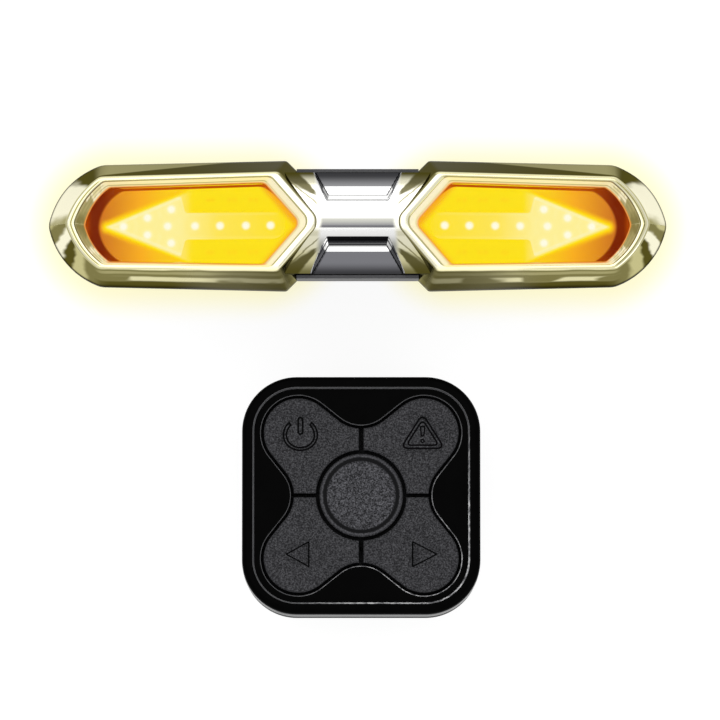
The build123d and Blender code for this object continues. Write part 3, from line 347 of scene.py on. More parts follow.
def shade(code):
    """A written colour such as FFE415 as linear light."""
    def linear(part):
        share = int(part, 16) / 255
        return share / 12.92 if share <= 0.04045 else ((share + 0.055) / 1.055) ** 2.4
    return (*(linear(code[i:i + 2]) for i in (0, 2, 4)), 1.0)


# Finishes of the light

def chrome(paint, tint, painted_light=0.0):
    """A bright plated finish whose tint carries painted reflections and keeps them on steep sides; where
    the glow mask is set, a painted glow stands in for the lamps' light.
    """
    paint.set(Base_Color=tint, Specular_Tint=(0.5, 0.5, 0.5, 1.0), Emission_Color=tint)
    paint.set(Metallic=paint.math("MULTIPLY_ADD", painted_light, -PAINTED_GLOW_METALLIC_LOSS, 1.0),
              Roughness=paint.math("MULTIPLY_ADD", painted_light, PAINTED_GLOW_ROUGHNESS_RISE, PLATING_ROUGHNESS),
              Emission_Strength=paint.math("MULTIPLY", painted_light, PAINTED_GLOW_STRENGTH))
    return paint.material


def long_side_tones(paint, across, reach, wave):
    """The long sides, lower and upper, in painted reflections: an olive slope, a cream crest and bevel, and
    the window's edge in painted amber.
    """
    upper = paint.coats(
        DARK_OLIVE, (paint.step(across, 0.3, 0.0), DEEP_OLIVE), (paint.step(across, 2.4, 2.68), CREAM),
        (paint.line(across, 3.34, 0.16), STRAW), (paint.line(across, 3.87, 0.1), STRAW),
        (paint.step(across, 3.94, 4.14), EDGE_AMBER))
    strip = paint.math("SUBTRACT", paint.math("MULTIPLY_ADD", reach, 0.1, -2.05), across)
    upper = paint.coats(upper, (paint.step(strip, -0.12, 0.12), KHAKI))
    swayed = paint.math("MULTIPLY_ADD", wave, 0.3, across)
    lower = paint.coats(
        DARK_OLIVE, (paint.step(swayed, 0.7, 1.7), OLIVE), (paint.step(swayed, 0.5, 0.1), DEEP_OLIVE),
        (paint.line(swayed, 1.3, 0.42), SAND), (paint.line(swayed, 2.17, 0.26), KHAKI),
        (paint.step(swayed, 2.5, 2.76), CREAM), (paint.step(swayed, 3.6, 4.0), EDGE_AMBER),
        (paint.step(swayed, 4.04, 4.14), EDGE_ORANGE))
    return lower, upper


def tip_slope_tones(paint, around_tip):
    """The slope round the tip in painted reflections: dark, with one bright facet above and two below."""
    return paint.coats(
        DARK_OLIVE, (paint.step(around_tip, 0.5, -0.5), OLIVE), (paint.line(around_tip, -2.33, 0.2), STRAW),
        (paint.line(around_tip, -2.68, 0.15), PALE_CREAM),
        (paint.line(around_tip, -2.51, 0.13), DARK_OLIVE), (paint.line(around_tip, -2.86, 0.12), OLIVE),
        (paint.step(around_tip, -2.9, -2.97), STRAW),
        (paint.step(around_tip, 2.32, 2.46), PALE_CREAM), (paint.step(around_tip, 2.9, 3.1), KHAKI))


def tip_bevel_tones(paint, across, hatched):
    """The bevel inside the tip in painted reflections: cream by the corner, olive towards the tip, with two
    fine painted dark lines.
    """
    bevel = paint.coats(
        PALE_CREAM, (paint.line(hatched, 2.2, 0.15), SAND), (paint.step(hatched, 2.36, 2.5), KHAKI),
        (paint.step(hatched, 2.66, 2.9), OLIVE), (paint.step(hatched, 2.95, 3.1), KHAKI))
    # Two painted dark lines across the bevel, where no groove is cut
    painted_step_lines = paint.math("MAXIMUM", paint.line(across, 3.62, 0.07), paint.line(across, 3.85, 0.06))
    return paint.coats(bevel, (paint.math("MULTIPLY", painted_step_lines, 0.4), OLIVE),
                       (paint.step(across, 3.98, 4.1), EDGE_AMBER))


def nose_tones(paint, across, along):
    """The chevron nose in painted reflections: bright in its middle, olive towards the shoulders, with a
    cream crest and bevel.
    """
    slope = paint.coats(
        PALE_CREAM, (paint.step(along, -0.15, -0.45), OLIVE), (paint.line(along, -0.72, 0.2), KHAKI),
        (paint.step(along, 0.25, 0.7), DARK_OLIVE))
    crest = paint.coats(
        PALE_CREAM, (paint.step(across, 2.84, 2.7), OLIVE), (paint.line(across, 3.36, 0.085), STRAW),
        (paint.line(across, 3.92, 0.07), SAND), (paint.step(across, 3.92, 4.1), EDGE_AMBER))
    return paint.mix(paint.step(across, 2.36, 2.5), slope, crest)


def rim_finish():
    """Painted reflections round a wing: cream and olive fields by how far across and along its rim a point
    lies.
    """
    paint = Paint("chrome_rim_painted_reflections")
    place = paint.coordinates()
    reach = paint.math("ABSOLUTE", paint.parts(paint.place(place, light_centre, (MM, MM, MM)))[0])
    across, along = paint.attribute("across"), paint.attribute("along")
    corner = paint.math("ABSOLUTE", along)
    wave = paint.noise(paint.place(place, light_centre, (7 * MM, 2 * MM, 4 * MM)), 1.0)
    wave = paint.math("SUBTRACT", wave, 0.5)
    lower, upper = long_side_tones(paint, across, reach, wave)
    # Painted olive streaks of reflection on the lower slope, and painted shade on it near the bridge
    streak = paint.noise(paint.place(place, light_centre, (8 * MM, 2.5 * MM, 60 * MM)), 1.0, 1.0)
    streak = paint.math("MULTIPLY", paint.step(streak, 0.5, 0.58), paint.line(across, 1.3, 0.62))
    painted_dark_by_bridge = paint.math("MULTIPLY", paint.step(reach, 27.0, 20.0), paint.step(across, 2.7, 2.5))
    lower = paint.coats(lower, (streak, OLIVE), (paint.math("MULTIPLY", painted_dark_by_bridge, 0.6), DARK_OLIVE))
    band = paint.mix(paint.step(along, -0.1, 0.1), lower, upper)
    around_tip = paint.math("MULTIPLY_ADD", wave, 0.25, paint.math("MULTIPLY_ADD", across, 0.05, along))
    tip = tip_slope_tones(paint, around_tip)
    crest = paint.coats(
        PALE_CREAM, (paint.line(across, 2.64, 0.12), STRAW), (paint.line(across, 3.05, 0.26), SAND),
        (paint.line(across, 3.06, 0.08), OLIVE), (paint.line(across, 3.38, 0.09), OLIVE))
    hatch = paint.noise(paint.place(place, light_centre, (0.5 * MM, 3 * MM, 5 * MM)), 1.0, 3.0)
    hatched = paint.math("MULTIPLY_ADD", paint.math("SUBTRACT", hatch, 0.5), 0.5, corner)
    tip = paint.coats(tip, (paint.step(across, 0.3, 0.0), DEEP_OLIVE))
    tip = paint.mix(paint.step(across, 2.5, 2.6), tip, crest)
    tip = paint.mix(paint.step(across, 3.4, 3.48), tip, tip_bevel_tones(paint, across, hatched))
    band = paint.mix(paint.step(corner, 1.94, 2.12), band, tip)
    tone = paint.mix(paint.step(corner, 0.94, 1.03), nose_tones(paint, across, along), band)
    # Painted glow where the lamps' light would fall: the bevel by the window, and the lower side near the
    # bridge
    below = paint.math("MULTIPLY", paint.step(along, -0.9, -1.0), paint.step(reach, 32.0, 24.0))
    painted_light = paint.math("MAXIMUM", paint.step(across, 3.34, 3.5), paint.math("MULTIPLY", below, 0.8))
    return chrome(paint, tone, painted_light)


def ridge_tones(paint, level):
    """The ridge in painted reflections: white, with one gray field under its middle and silver towards its
    lower foot.
    """
    above_foot = paint.step(level, -1.15, -0.9)
    pale = paint.math("MULTIPLY", above_foot, paint.step(level, 1.02, 0.3))
    dark = paint.math("MULTIPLY", above_foot, paint.step(level, 0.4, -0.8))
    return paint.coats(WHITE, (paint.step(level, -1.9, -4.2), SILVER), (pale, SILVER), (dark, GRAY),
                       (paint.line(level, -0.78, 0.16), LEAD))


def recess_tones(paint, level, foot, side):
    """The recesses in painted reflections and painted shade: white floors, walls that darken outwards, and
    a dark gray inner wall with two stripes.
    """
    wall = paint.math("MULTIPLY", paint.step(level, -3.8, -3.68), paint.step(level, 1.0, -1.0))
    floor = paint.coats(
        WHITE, (paint.step(level, -4.62, -4.75), LEAD), (paint.step(level, -6.4, -8.4), COAL), (wall, PAINTED_SHADE_GRAY),
        (paint.line(level, -3.3, 0.3), GRAY), (paint.line(level, -2.5, 0.3), LEAD),
        (paint.step(level, 6.1, 6.32), GRAY), (paint.step(level, 5.9, 8.2), COAL))
    flank = paint.coats(WHITE, (paint.step(foot, 0.25, 0.02), PAINTED_SHADE_GRAY), (paint.line(foot, 0.5, 0.12), GRAY),
                        (paint.step(foot, 0.84, 0.92), PAINTED_SHADE_GRAY))
    steep = paint.math("MULTIPLY", paint.step(paint.math("ABSOLUTE", side[0]), 0.3, 0.6),
                       paint.step(foot, 0.02, 0.1))
    return paint.mix(steep, floor, flank)


def shoulder_tones(paint, level):
    """The pale ground beside the recesses in painted reflections, with one pearl stripe and olive towards
    both edges.
    """
    middle = paint.math("MULTIPLY", paint.step(level, -1.8, -1.2), paint.step(level, 7.0, 5.0))
    return paint.coats(
        PALE_CREAM, (paint.math("MULTIPLY", middle, 0.5), WHITE), (paint.line(level, -2.0, 0.6), PEARL),
        (paint.step(level, -3.6, -5.8), SAND), (paint.step(level, -6.0, -8.4), OLIVE),
        (paint.step(level, 6.9, 8.4), DARK_OLIVE))


def bridge_finish():
    """Painted reflections and painted shade on the bridge: gray and white fields on the ridge and its
    recesses, cream and olive towards the shoulders.
    """
    paint = Paint("chrome_bridge_painted_reflections")
    spot = paint.parts(paint.place(paint.coordinates(), light_centre, (MM, MM, MM)))
    reach, aside = paint.math("ABSOLUTE", spot[0]), paint.math("ABSOLUTE", spot[1])
    sunk, foot = paint.attribute("sunk"), paint.attribute("foot")
    side = paint.parts(paint.coordinates("Normal"))
    grain = paint.place(paint.coordinates(), light_centre, (3 * MM, 0.8 * MM, 3 * MM))
    grain = paint.noise(grain, 1.0, 3.0)
    off = paint.math("SUBTRACT", aside, paint.math("MULTIPLY_ADD", reach, 0.84, -1.1))
    off = paint.math("MULTIPLY_ADD", paint.math("SUBTRACT", grain, 0.5), 0.6, off)
    # Painted dark olive facets and an olive stripe of reflection beside the recesses
    wedge = paint.math("DIVIDE", paint.math("ABSOLUTE", off), paint.math("MULTIPLY_ADD", reach, 0.38, -2.2))
    wedge = paint.math("MULTIPLY", paint.step(wedge, 1.1, 0.55), paint.step(reach, 6.3, 7.4))
    stripe = paint.math("MULTIPLY", paint.line(off, -1.5, 0.22), paint.step(reach, 6.0, 7.0))
    beside = paint.coats(shoulder_tones(paint, spot[1]), (paint.math("MULTIPLY", wedge, 0.92), DARK_OLIVE),
                         (paint.math("MULTIPLY", stripe, 0.75), OLIVE))
    tone = paint.mix(paint.step(paint.math("MULTIPLY_ADD", aside, -0.1, reach), 5.7, 6.7),
                     ridge_tones(paint, spot[1]), beside)
    tone = paint.mix(paint.step(foot, 0.02, 0.08), tone, recess_tones(paint, spot[1], foot, side))
    # Painted dark lines of shade along the recesses' brinks, and painted shade on the upright walls at the
    # bridge's long edges
    brink = paint.math("MULTIPLY", paint.line(sunk, 0.06, 0.13), paint.step(aside, 2.6, 3.0))
    rim = paint.math("MULTIPLY", paint.line(sunk, -0.28, 0.1), paint.step(aside, 3.2, 3.6))
    tone = paint.coats(
        tone, (paint.math("MULTIPLY", brink, 0.8), LEAD), (paint.math("MULTIPLY", rim, 0.7), LEAD),
        (paint.step(paint.math("ABSOLUTE", side[1]), 0.93, 0.98), COAL))
    return chrome(paint, tone)


def wing_reach(paint, spot):
    """How far out a point of the reflector's floor lies, measured along the sloping wing."""
    drop = radians(WING_DROP)
    start = CREST_ROOT_X + (FLOOR_DEPTH * sin(drop) - CREST_ROOT_X) / cos(drop)
    return paint.math("MULTIPLY_ADD", paint.math("ABSOLUTE", spot[0]), 1 / cos(drop), start)


def lamp_distance(paint, reach, aside):
    """How far a point of a wing is from the nearest lamp, in millimetres."""
    nearest = None
    for x, y in [(x, 0.0) for x in LED_ROW] + list(LED_HEAD):
        away = paint.length(paint.math("SUBTRACT", reach, x), paint.math("SUBTRACT", aside, y))
        nearest = away if nearest is None else paint.math("MINIMUM", nearest, away)
    return nearest


def light_up(paint, colour):
    """A surface that glows in one colour and reflects next to nothing: on the lamp domes the lamps' own
    glow, on the tray and the arrows a painted glow standing in for the lamps' light.
    """
    paint.set(Base_Color=shade("140A02"), Roughness=0.5, Specular_IOR_Level=0.0, Emission_Color=colour,
              Emission_Strength=1.0)
    return paint.material


def reflector_finish():
    """The tray with the lamps' light painted on as a glow: yellow floor, orange towards the tip, dark red
    walls.
    """
    paint = Paint("reflector_amber")
    spot = paint.parts(paint.place(paint.coordinates(), light_centre, (MM, MM, MM)))
    aside = paint.math("ABSOLUTE", spot[1])
    reach = wing_reach(paint, spot)
    drop = radians(WING_DROP)
    level = paint.math("MULTIPLY_ADD", paint.math("ABSOLUTE", spot[0]), tan(drop), spot[2])
    floor_level = CREST_ROOT_Z + CREST_ROOT_X * tan(drop) - FLOOR_DEPTH / cos(drop)
    rise = paint.math("SUBTRACT", level, floor_level)
    floor = paint.bands(reach, [(10.0, DEEP_YELLOW), (12.0, LAMP_YELLOW), (29.0, LAMP_YELLOW),
                                (36.8, AMBER), (44.0, BURNT_ORANGE)])
    slope = ARROW_BARB_Y / (ARROW_TIP_X - ARROW_BARB_X)
    head_edge = paint.math("MULTIPLY", paint.math("SUBTRACT", ARROW_TIP_X, reach), slope)
    past_tip = paint.math("MAXIMUM", paint.math("SUBTRACT", reach, ARROW_TIP_X), 0.0)
    off_head = paint.math("SUBTRACT", aside, paint.math("MAXIMUM", head_edge, 0.0))
    off_head = paint.math("MAXIMUM", paint.math("MULTIPLY", off_head, 0.92), 0.0)
    off_head = paint.length(off_head, past_tip)
    # A painted halo of glow hugging the arrow's head
    halo = paint.bands(off_head, [(-0.3, ARROW_CREAM), (0.35, LAMP_YELLOW), (0.6, DEEP_YELLOW),
                                  (1.5, AMBER)])
    hug = paint.math("SUBTRACT", 1.0, paint.step(off_head, 0.5, 1.5))
    hug = paint.math("MULTIPLY", hug, paint.step(reach, 28.0, 31.0))
    floor = paint.mix(hug, floor, halo)
    inset = paint.math("MULTIPLY_ADD", aside, -0.62, paint.math("MULTIPLY_ADD", reach, 0.72, -7.3))
    floor = paint.mix(paint.math("SUBTRACT", 1.0, paint.step(inset, 0.0, 1.3)), floor, shade(AMBER))
    for x in REFLECTOR_DOTS:
        dot = paint.length(paint.math("SUBTRACT", reach, x), paint.math("SUBTRACT", aside, REFLECTOR_DOT_Y))
        dot = paint.math("SUBTRACT", 1.0, paint.step(dot, 0.08, 0.3))
        floor = paint.mix(paint.math("MULTIPLY", dot, 0.7), floor, shade(AMBER))
    wall = paint.bands(reach, [(11.5, WALL_ORANGE), (17.0, WALL_BROWN), (38.0, WALL_BROWN),
                               (43.4, WALL_RED), (45.2, WALL_RED), (46.4, WALL_BROWN)])
    inward = paint.math("SUBTRACT", 1.0, paint.step(reach, 14.5, 17.0))
    lift = paint.math("MULTIPLY_ADD", inward, -0.95, rise)
    return light_up(paint, paint.mix(paint.step(lift, 0.06, 0.45), floor, wall))


def arrow_tone(paint, reach, spot):
    """The arrow's painted glow: pale in the head, fading along the shaft, with paler borders."""
    aside = paint.math("ABSOLUTE", spot[1])
    body = paint.bands(reach, [(11.5, LAMP_YELLOW), (24.0, PALE_YELLOW), (31.0, ARROW_CREAM)])
    on_shaft = paint.math("MULTIPLY", paint.line(aside, 1.98, 0.32),
                          paint.math("SUBTRACT", 1.0, paint.step(reach, 28.0, 28.6)))
    slope = ARROW_BARB_Y / (ARROW_TIP_X - ARROW_BARB_X)
    inset = paint.math("MULTIPLY", paint.math("SUBTRACT", ARROW_TIP_X, reach), slope)
    inset = paint.math("SUBTRACT", inset, aside)
    on_head = paint.math("MULTIPLY", paint.line(inset, 0.35, 0.34), paint.step(reach, 28.0, 28.8))
    border = paint.math("MULTIPLY_ADD", on_head, 0.22, paint.math("MULTIPLY", on_shaft, 0.05))
    tone = paint.coats(body, (border, LAMP_WHITE))
    # A painted glow round each lamp, with a faint pale ring
    away = lamp_distance(paint, reach, spot[1])
    tone = paint.mix(paint.math("MULTIPLY", paint.line(away, 1.5, 0.5), 0.1), tone, shade(PALE_YELLOW))
    glow = paint.math("SUBTRACT", 1.0, paint.step(away, 0.3, 0.95))
    return paint.mix(glow, tone, shade(LAMP_WHITE))


def glow_finish(name):
    """The glow that an arrow and the domes of its lamps share; on the arrow it is painted light."""
    paint = Paint(name)
    spot = paint.parts(paint.place(paint.coordinates(), light_centre, (MM, MM, MM)))
    return light_up(paint, arrow_tone(paint, wing_reach(paint, spot), spot))


def lens_finish():
    """Clear polished plastic with a breath of amber."""
    paint = Paint("amber_lens")
    grain = paint.noise(paint.coordinates(), 900.0)
    tint = paint.mix(grain, shade("FFFCF2"), shade("FFFEF8"))
    paint.set(Base_Color=tint, Roughness=0.0, IOR=1.08, Transmission_Weight=1.0, Specular_IOR_Level=0.2)
    return paint.material


# Plain finishes

def moulded(name, dark, light, grain, roughness, metallic=0.0, depth=0.02 * MM, specular=0.3):
    """A moulded, plated or sheet surface: two close tones over a fine grain."""
    paint = Paint(name)
    field = paint.noise(paint.coordinates(), grain, 3.0, 0.6)
    colour = paint.bands(field, [(0.3, dark), (0.7, light)])
    paint.set(Base_Color=colour, Metallic=metallic, Specular_IOR_Level=specular,
              IOR=1.2 if specular < 0.2 else 1.45)
    paint.put(paint.math("MULTIPLY_ADD", field, 0.1, roughness - 0.05), paint.shader.inputs["Roughness"])
    return paint.bump(field, depth, 0.5).material


# Finishes of the remote

def key_finish():
    """Charcoal rubber with a coarse spark grain; the round key has a painted highlight on its crest and
    painted shade on its inner slope, and the petals' edges have painted shade.
    """
    paint = Paint("key_rubber")
    place = paint.coordinates()
    spot = paint.parts(paint.place(place, remote_centre, (MM, MM, MM)))
    radius = paint.length(spot[0], spot[1])
    grain = paint.noise(place, 3900.0, 4.0, 0.8)
    specks = paint.step(grain, 0.44, 0.78, False)
    colour = paint.mix(specks, shade("161618"), shade("84848A"))
    outer = paint.mix(specks, shade("1B1B1D"), shade("6A6A6E"))
    colour = paint.mix(paint.step(radius, 6.15, 6.35), colour, outer)
    # Painted shade on the round key's dished inner slope, and a painted highlight on its crest
    slope = paint.math("SUBTRACT", 1.0, paint.step(radius, 6.3, 6.5))
    slope = paint.math("MULTIPLY", paint.step(radius, 5.6, 5.9), slope)
    colour = paint.mix(slope, colour, shade("0E0E10"))
    crest = paint.mix(specks, shade("3C3C3F"), shade("68686C"))
    colour = paint.mix(paint.line(radius, 6.66, 0.2), colour, crest)
    # Painted shade where the petals fall away below their tops
    drop = paint.step(paint.math("SUBTRACT", spot[2], (key_top - remote_centre.z) / MM), -0.5, -0.12)
    edge = paint.math("MULTIPLY", paint.math("SUBTRACT", 1.0, drop), paint.step(radius, 6.9, 7.0))
    colour = paint.mix(edge, colour, shade("121214"))
    paint.set(Base_Color=colour, Roughness=0.7, Specular_IOR_Level=0.12)
    return paint.bump(grain, 0.05 * MM, 0.7).material


def gloss_finish():
    """Piano black with the faintest polishing haze, and a painted gray reflection of the floor on its
    upright sides.
    """
    paint = Paint("remote_gloss")
    haze = paint.noise(paint.coordinates(), 300.0, 4.0, 0.6)
    side = paint.parts(paint.coordinates("Normal"))
    # Painted reflection: the upright sides are gray
    upright = paint.math("SUBTRACT", 1.0, paint.step(paint.math("ABSOLUTE", side[2]), 0.1, 0.75))
    flat = paint.mix(haze, shade("030303"), shade("070707"))
    colour = paint.mix(upright, flat, shade("1E1E20"))
    paint.set(Base_Color=colour, Specular_IOR_Level=0.1, IOR=1.12)
    paint.put(paint.math("MULTIPLY_ADD", haze, 0.06, 0.12), paint.shader.inputs["Roughness"])
    return paint.material


def edge_highlight_finish():
    """A painted highlight on the thin chamfer where an edge of the black case would catch the light,
    brightest and speckled towards the lower right.
    """
    paint = Paint("painted_edge_highlight")
    place = paint.coordinates()
    spot = paint.parts(paint.place(place, remote_centre, (MM, MM, MM)))
    sparkle = paint.noise(place, 900.0, 3.0, 0.7)
    # Painted highlight: the chamfer is gray, brighter and speckled towards the lower right
    painted_light = paint.step(paint.math("SUBTRACT", spot[0], spot[1]), 2.0, 24.0)
    plain = paint.mix(sparkle, shade("4A4A4C"), shade("6C6C6E"))
    painted_highlight = paint.bands(sparkle, [(0.4, "6E6E70"), (0.52, "B8B8BA"), (0.62, "F0F0F0")])
    paint.set(Base_Color=paint.mix(painted_light, plain, painted_highlight), Roughness=0.35, Specular_IOR_Level=0.3)
    return paint.material


def groove_finish():
    """The near black of the symbols' grooves, painted shade in the cut lines."""
    paint = Paint("key_groove")
    grain = paint.noise(paint.coordinates(), 2600.0)
    paint.set(Base_Color=paint.mix(grain, shade("050506"), shade("0B0B0C")), Roughness=0.8,
              Specular_IOR_Level=0.05)
    return paint.material


finishes = {
    "reflector_amber": reflector_finish(),
    "arrow_glow": glow_finish("arrow_glow"),
    "led_glow": glow_finish("led_glow"),
    "amber_lens": lens_finish(),
    "key_rubber": key_finish(),
    "remote_gloss": gloss_finish(),
    "chrome_bezel": moulded("chrome_bezel", "D8D6C4", "E6E4D4", 600.0, 0.15, metallic=1.0),
    "shell_gray": moulded("shell_gray", "3C3C3E", "4C4C4E", 2500.0, 0.4),
    "seal_rubber": moulded("seal_rubber", "161616", "202020", 1800.0, 0.7),
    "screw_steel": moulded("screw_steel", "9A9A9C", "B8B8BA", 1500.0, 0.35, metallic=1.0),
    "board_green": moulded("board_green", "0B3A1A", "12502A", 900.0, 0.4),
    "board_white": moulded("board_white", "D8D8D2", "E6E6E0", 900.0, 0.5),
    "chip_black": moulded("chip_black", "101011", "1B1B1D", 2200.0, 0.5),
    "cell_foil": moulded("cell_foil", "B4B4B6", "CCCCCE", 600.0, 0.3, metallic=1.0),
    "bracket_black": moulded("bracket_black", "141415", "1E1E20", 2600.0, 0.55),
    "remote_matte": moulded("remote_matte", "101012", "1A1A1C", 2600.0, 0.5, specular=0.1),
    "membrane_gray": moulded("membrane_gray", "2A2A2C", "343436", 1600.0, 0.7),
}

# Each node takes the finish of its slot in the record
for part in frame["record"]["subparts"]:
    node = frame["nodes"][part["node"]]
    node.data.materials.clear()
    node.data.materials.append(finishes[part["material_slot"]])


# Pieces that stand in for CAD nodes

def piece(name, shape, materials, node_name, sharp=35.0):
    """Make a mesh of a bmesh, shade it and let it ride with the body of a node."""
    bmesh.ops.recalc_face_normals(shape, faces=shape.faces)
    mesh = bpy.data.meshes.new(name)
    shape.to_mesh(mesh)
    shape.free()
    mesh.shade_smooth()
    mesh.set_sharp_from_angle(angle=radians(sharp))
    for material in materials:
        mesh.materials.append(material)
    made = bpy.data.objects.new(name, mesh)
    bpy.context.scene.collection.objects.link(made)
    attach(made, frame["nodes"][node_name]["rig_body"])
    return made


def loop_across(across):
    """The loop that lies so many millimetres in from a wing's outline."""
    first, second, share = OUTLINE, RIM, across / RIM_ACROSS
    if across > RIM_ACROSS:
        first, second, share = RIM, WINDOW, (across - RIM_ACROSS) / (WINDOW_ACROSS - RIM_ACROSS)
    return tuple(a + (b - a) * share for a, b in zip(first, second))


def sharp_place(corners, bulge, run):
    """A place on a loop with sharp corners, so many millimetres from its inner vertex."""
    lengths = [(b - a).length for a, b in zip(corners, corners[1:])]
    side, run = (-1.0, -run) if run < 0 else (1.0, run)
    if run > sum(lengths):
        side, run = -side, 2 * sum(lengths) - run
    leg = 0
    while leg < 2 and run > lengths[leg]:
        run -= lengths[leg]
        leg += 1
    share = run / lengths[leg]
    place = corners[leg].lerp(corners[leg + 1], share)
    if leg == 2:
        chord = corners[3] - corners[2]
        place += Vector((-chord.y, chord.x)).normalized() * 4 * bulge * share * (1 - share)
    return Vector((place.x, side * place.y))


def loop_place(loop, along):
    """A place on a loop with round corners; along runs from -3 to 3, a whole number at each corner."""
    inner_x, shoulder_x, shoulder_y, end_x, end_y, tip_x, bulge, *runs = loop
    places = ((inner_x, 0), (shoulder_x, shoulder_y), (end_x, end_y), (tip_x, 0))
    corners = [Vector(place) for place in places]
    lengths = [(b - a).length for a, b in zip(corners, corners[1:])]
    leg = min(int(abs(along)), 2)
    share = abs(along) - leg
    middle = sum(lengths[:leg]) + share * lengths[leg]
    reach = min(runs[leg] + (runs[leg + 1] - runs[leg]) * share, lengths[leg])
    place = Vector((0.0, 0.0))
    for step in range(-ROUNDING_STEPS, ROUNDING_STEPS + 1):
        place += sharp_place(corners, bulge, middle + reach * step / (ROUNDING_STEPS + 0.5))
    place /= 2 * ROUNDING_STEPS + 1
    return place if along >= 0 else Vector((place.x, -place.y))


def around_wing(column):
    """How far along a wing's loop a column of its grid lies, closer together towards the corners."""
    half = sum(LEG_STEPS)
    side, column = (-1.0, half - column) if column < half else (1.0, column - half)
    leg = 0
    while leg < 2 and column > LEG_STEPS[leg]:
        column -= LEG_STEPS[leg]
        leg += 1
    return side * (leg + (1 - cos(pi * column / LEG_STEPS[leg])) / 2)


def bezel_wing(shape, across_layer, along_layer):
    """A wing's rim: a grid laid round the wing, with the section's window wall, bevel, crest and slope."""
    columns, rows = 2 * sum(LEG_STEPS), len(SECTION) - 1
    drop = radians(WING_DROP)
    for vertex in bmesh.ops.create_grid(shape, x_segments=columns, y_segments=rows, size=1.0)["verts"]:
        along = around_wing(round((vertex.co.x + 1) / 2 * columns))
        across, share, below = SECTION[round((vertex.co.y + 1) / 2 * rows)]
        place = loop_place(loop_across(across), along)
        crest = CREST_ROOT_Z - (place.x - CREST_ROOT_X) * tan(drop)
        lean = min(across / RIM_ACROSS, 1.0)
        x = place.x - lean * ((place.x - CREST_ROOT_X) * (1 - cos(drop)) + below * sin(drop))
        vertex.co = (x, place.y, crest - share * (crest - SKIRT) - below)
        vertex[across_layer] = across
        vertex[along_layer] = along
    bmesh.ops.remove_doubles(shape, verts=shape.verts, dist=MERGE_DISTANCE)


def crown_level(y):
    """The bridge's crown, an arc across the light."""
    sag = BRIDGE_CROWN_Z - BRIDGE_EDGE_Z
    radius = (BRIDGE_HALF ** 2 + sag ** 2) / (2 * sag)
    return BRIDGE_CROWN_Z - radius + sqrt(radius ** 2 - y ** 2)


def recess_run(x, y):
    """How far down a recess's drafted wall a point lies: 0 at its top, 1 at its foot."""
    aside = abs(y - RIDGE_SHIFT)
    into_x = (RECESS_INNER_HALF + (aside - RIDGE_HALF) * RECESS_SPREAD - abs(x)) / RECESS_DRAFT
    into_y = (aside - RIDGE_HALF) / (RIDGE_FOOT - RIDGE_HALF)
    return min(into_x, into_y)


def bezel_bridge(shape, sunk_layer, foot_layer):
    """The crowned bridge with its two drafted recesses, its ends set back along the chevrons."""
    columns = int(2 * BRIDGE_END_X / BRIDGE_GRID_X)
    rows = int(2 * BRIDGE_HALF / BRIDGE_GRID_Y)
    made = bmesh.ops.create_grid(shape, x_segments=columns, y_segments=rows, size=1.0)["verts"]
    for vertex in made:
        y = vertex.co.y * BRIDGE_HALF
        x = vertex.co.x * (BRIDGE_END_X + BRIDGE_END_SPREAD * abs(y))
        share = min(max(recess_run(x, y), 0.0), 1.0)
        wall = RECESS_TOP_Z + (RECESS_FLOOR_Z - RECESS_TOP_Z) * share
        crown = crown_level(y)
        vertex.co = (x, y, min(crown, wall))
        vertex[sunk_layer] = crown - (RECESS_TOP_Z + (RECESS_FLOOR_Z - RECESS_TOP_Z) * recess_run(x, y))
        vertex[foot_layer] = share if crown > wall else 0.0
    bmesh.ops.smooth_vert(shape, verts=[v for v in made if not v.is_boundary], factor=0.5,
                          use_axis_x=False, use_axis_y=False, use_axis_z=True)
    rim = [edge for edge in set(e for v in made for e in v.link_edges) if edge.is_boundary]
    lowered = bmesh.ops.extrude_edge_only(shape, edges=rim)["geom"]
    for vertex in lowered:
        if isinstance(vertex, bmesh.types.BMVert):
            vertex.co.z = BRIDGE_SKIRT_Z


def make_bezel():
    wings = bmesh.new()
    bezel_wing(wings, wings.verts.layers.float.new("across"), wings.verts.layers.float.new("along"))
    bmesh.ops.scale(wings, vec=(MM, MM, MM), verts=wings.verts)
    bmesh.ops.mirror(wings, geom=wings.verts[:] + wings.edges[:] + wings.faces[:], merge_dist=0.0, axis="X")
    bmesh.ops.translate(wings, vec=light_centre, verts=wings.verts)
    rims = piece("bezel_rims", wings, [rim_finish()], "bezel")
    bridge = bmesh.new()
    bezel_bridge(bridge, bridge.verts.layers.float.new("sunk"), bridge.verts.layers.float.new("foot"))
    bmesh.ops.scale(bridge, vec=(MM, MM, MM), verts=bridge.verts)
    bmesh.ops.translate(bridge, vec=light_centre, verts=bridge.verts)
    middle = piece("bezel_bridge", bridge, [bridge_finish()], "bezel")
    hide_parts("bezel")
    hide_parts("bezel")


# Arrows and their lamps

def lean_on_wing(shape, depth, side):
    """Lay a flat shape under the sloping crest of a wing and move it to the light."""
    bmesh.ops.translate(shape, vec=(-CREST_ROOT_X, 0.0, -depth), verts=shape.verts)
    bmesh.ops.rotate(shape, cent=(0.0, 0.0, 0.0), matrix=Matrix.Rotation(radians(WING_DROP), 3, "Y"),
                     verts=shape.verts)
    bmesh.ops.translate(shape, vec=(CREST_ROOT_X, 0.0, CREST_ROOT_Z), verts=shape.verts)
    bmesh.ops.scale(shape, vec=(side * MM, MM, MM), verts=shape.verts)
    bmesh.ops.translate(shape, vec=light_centre, verts=shape.verts)


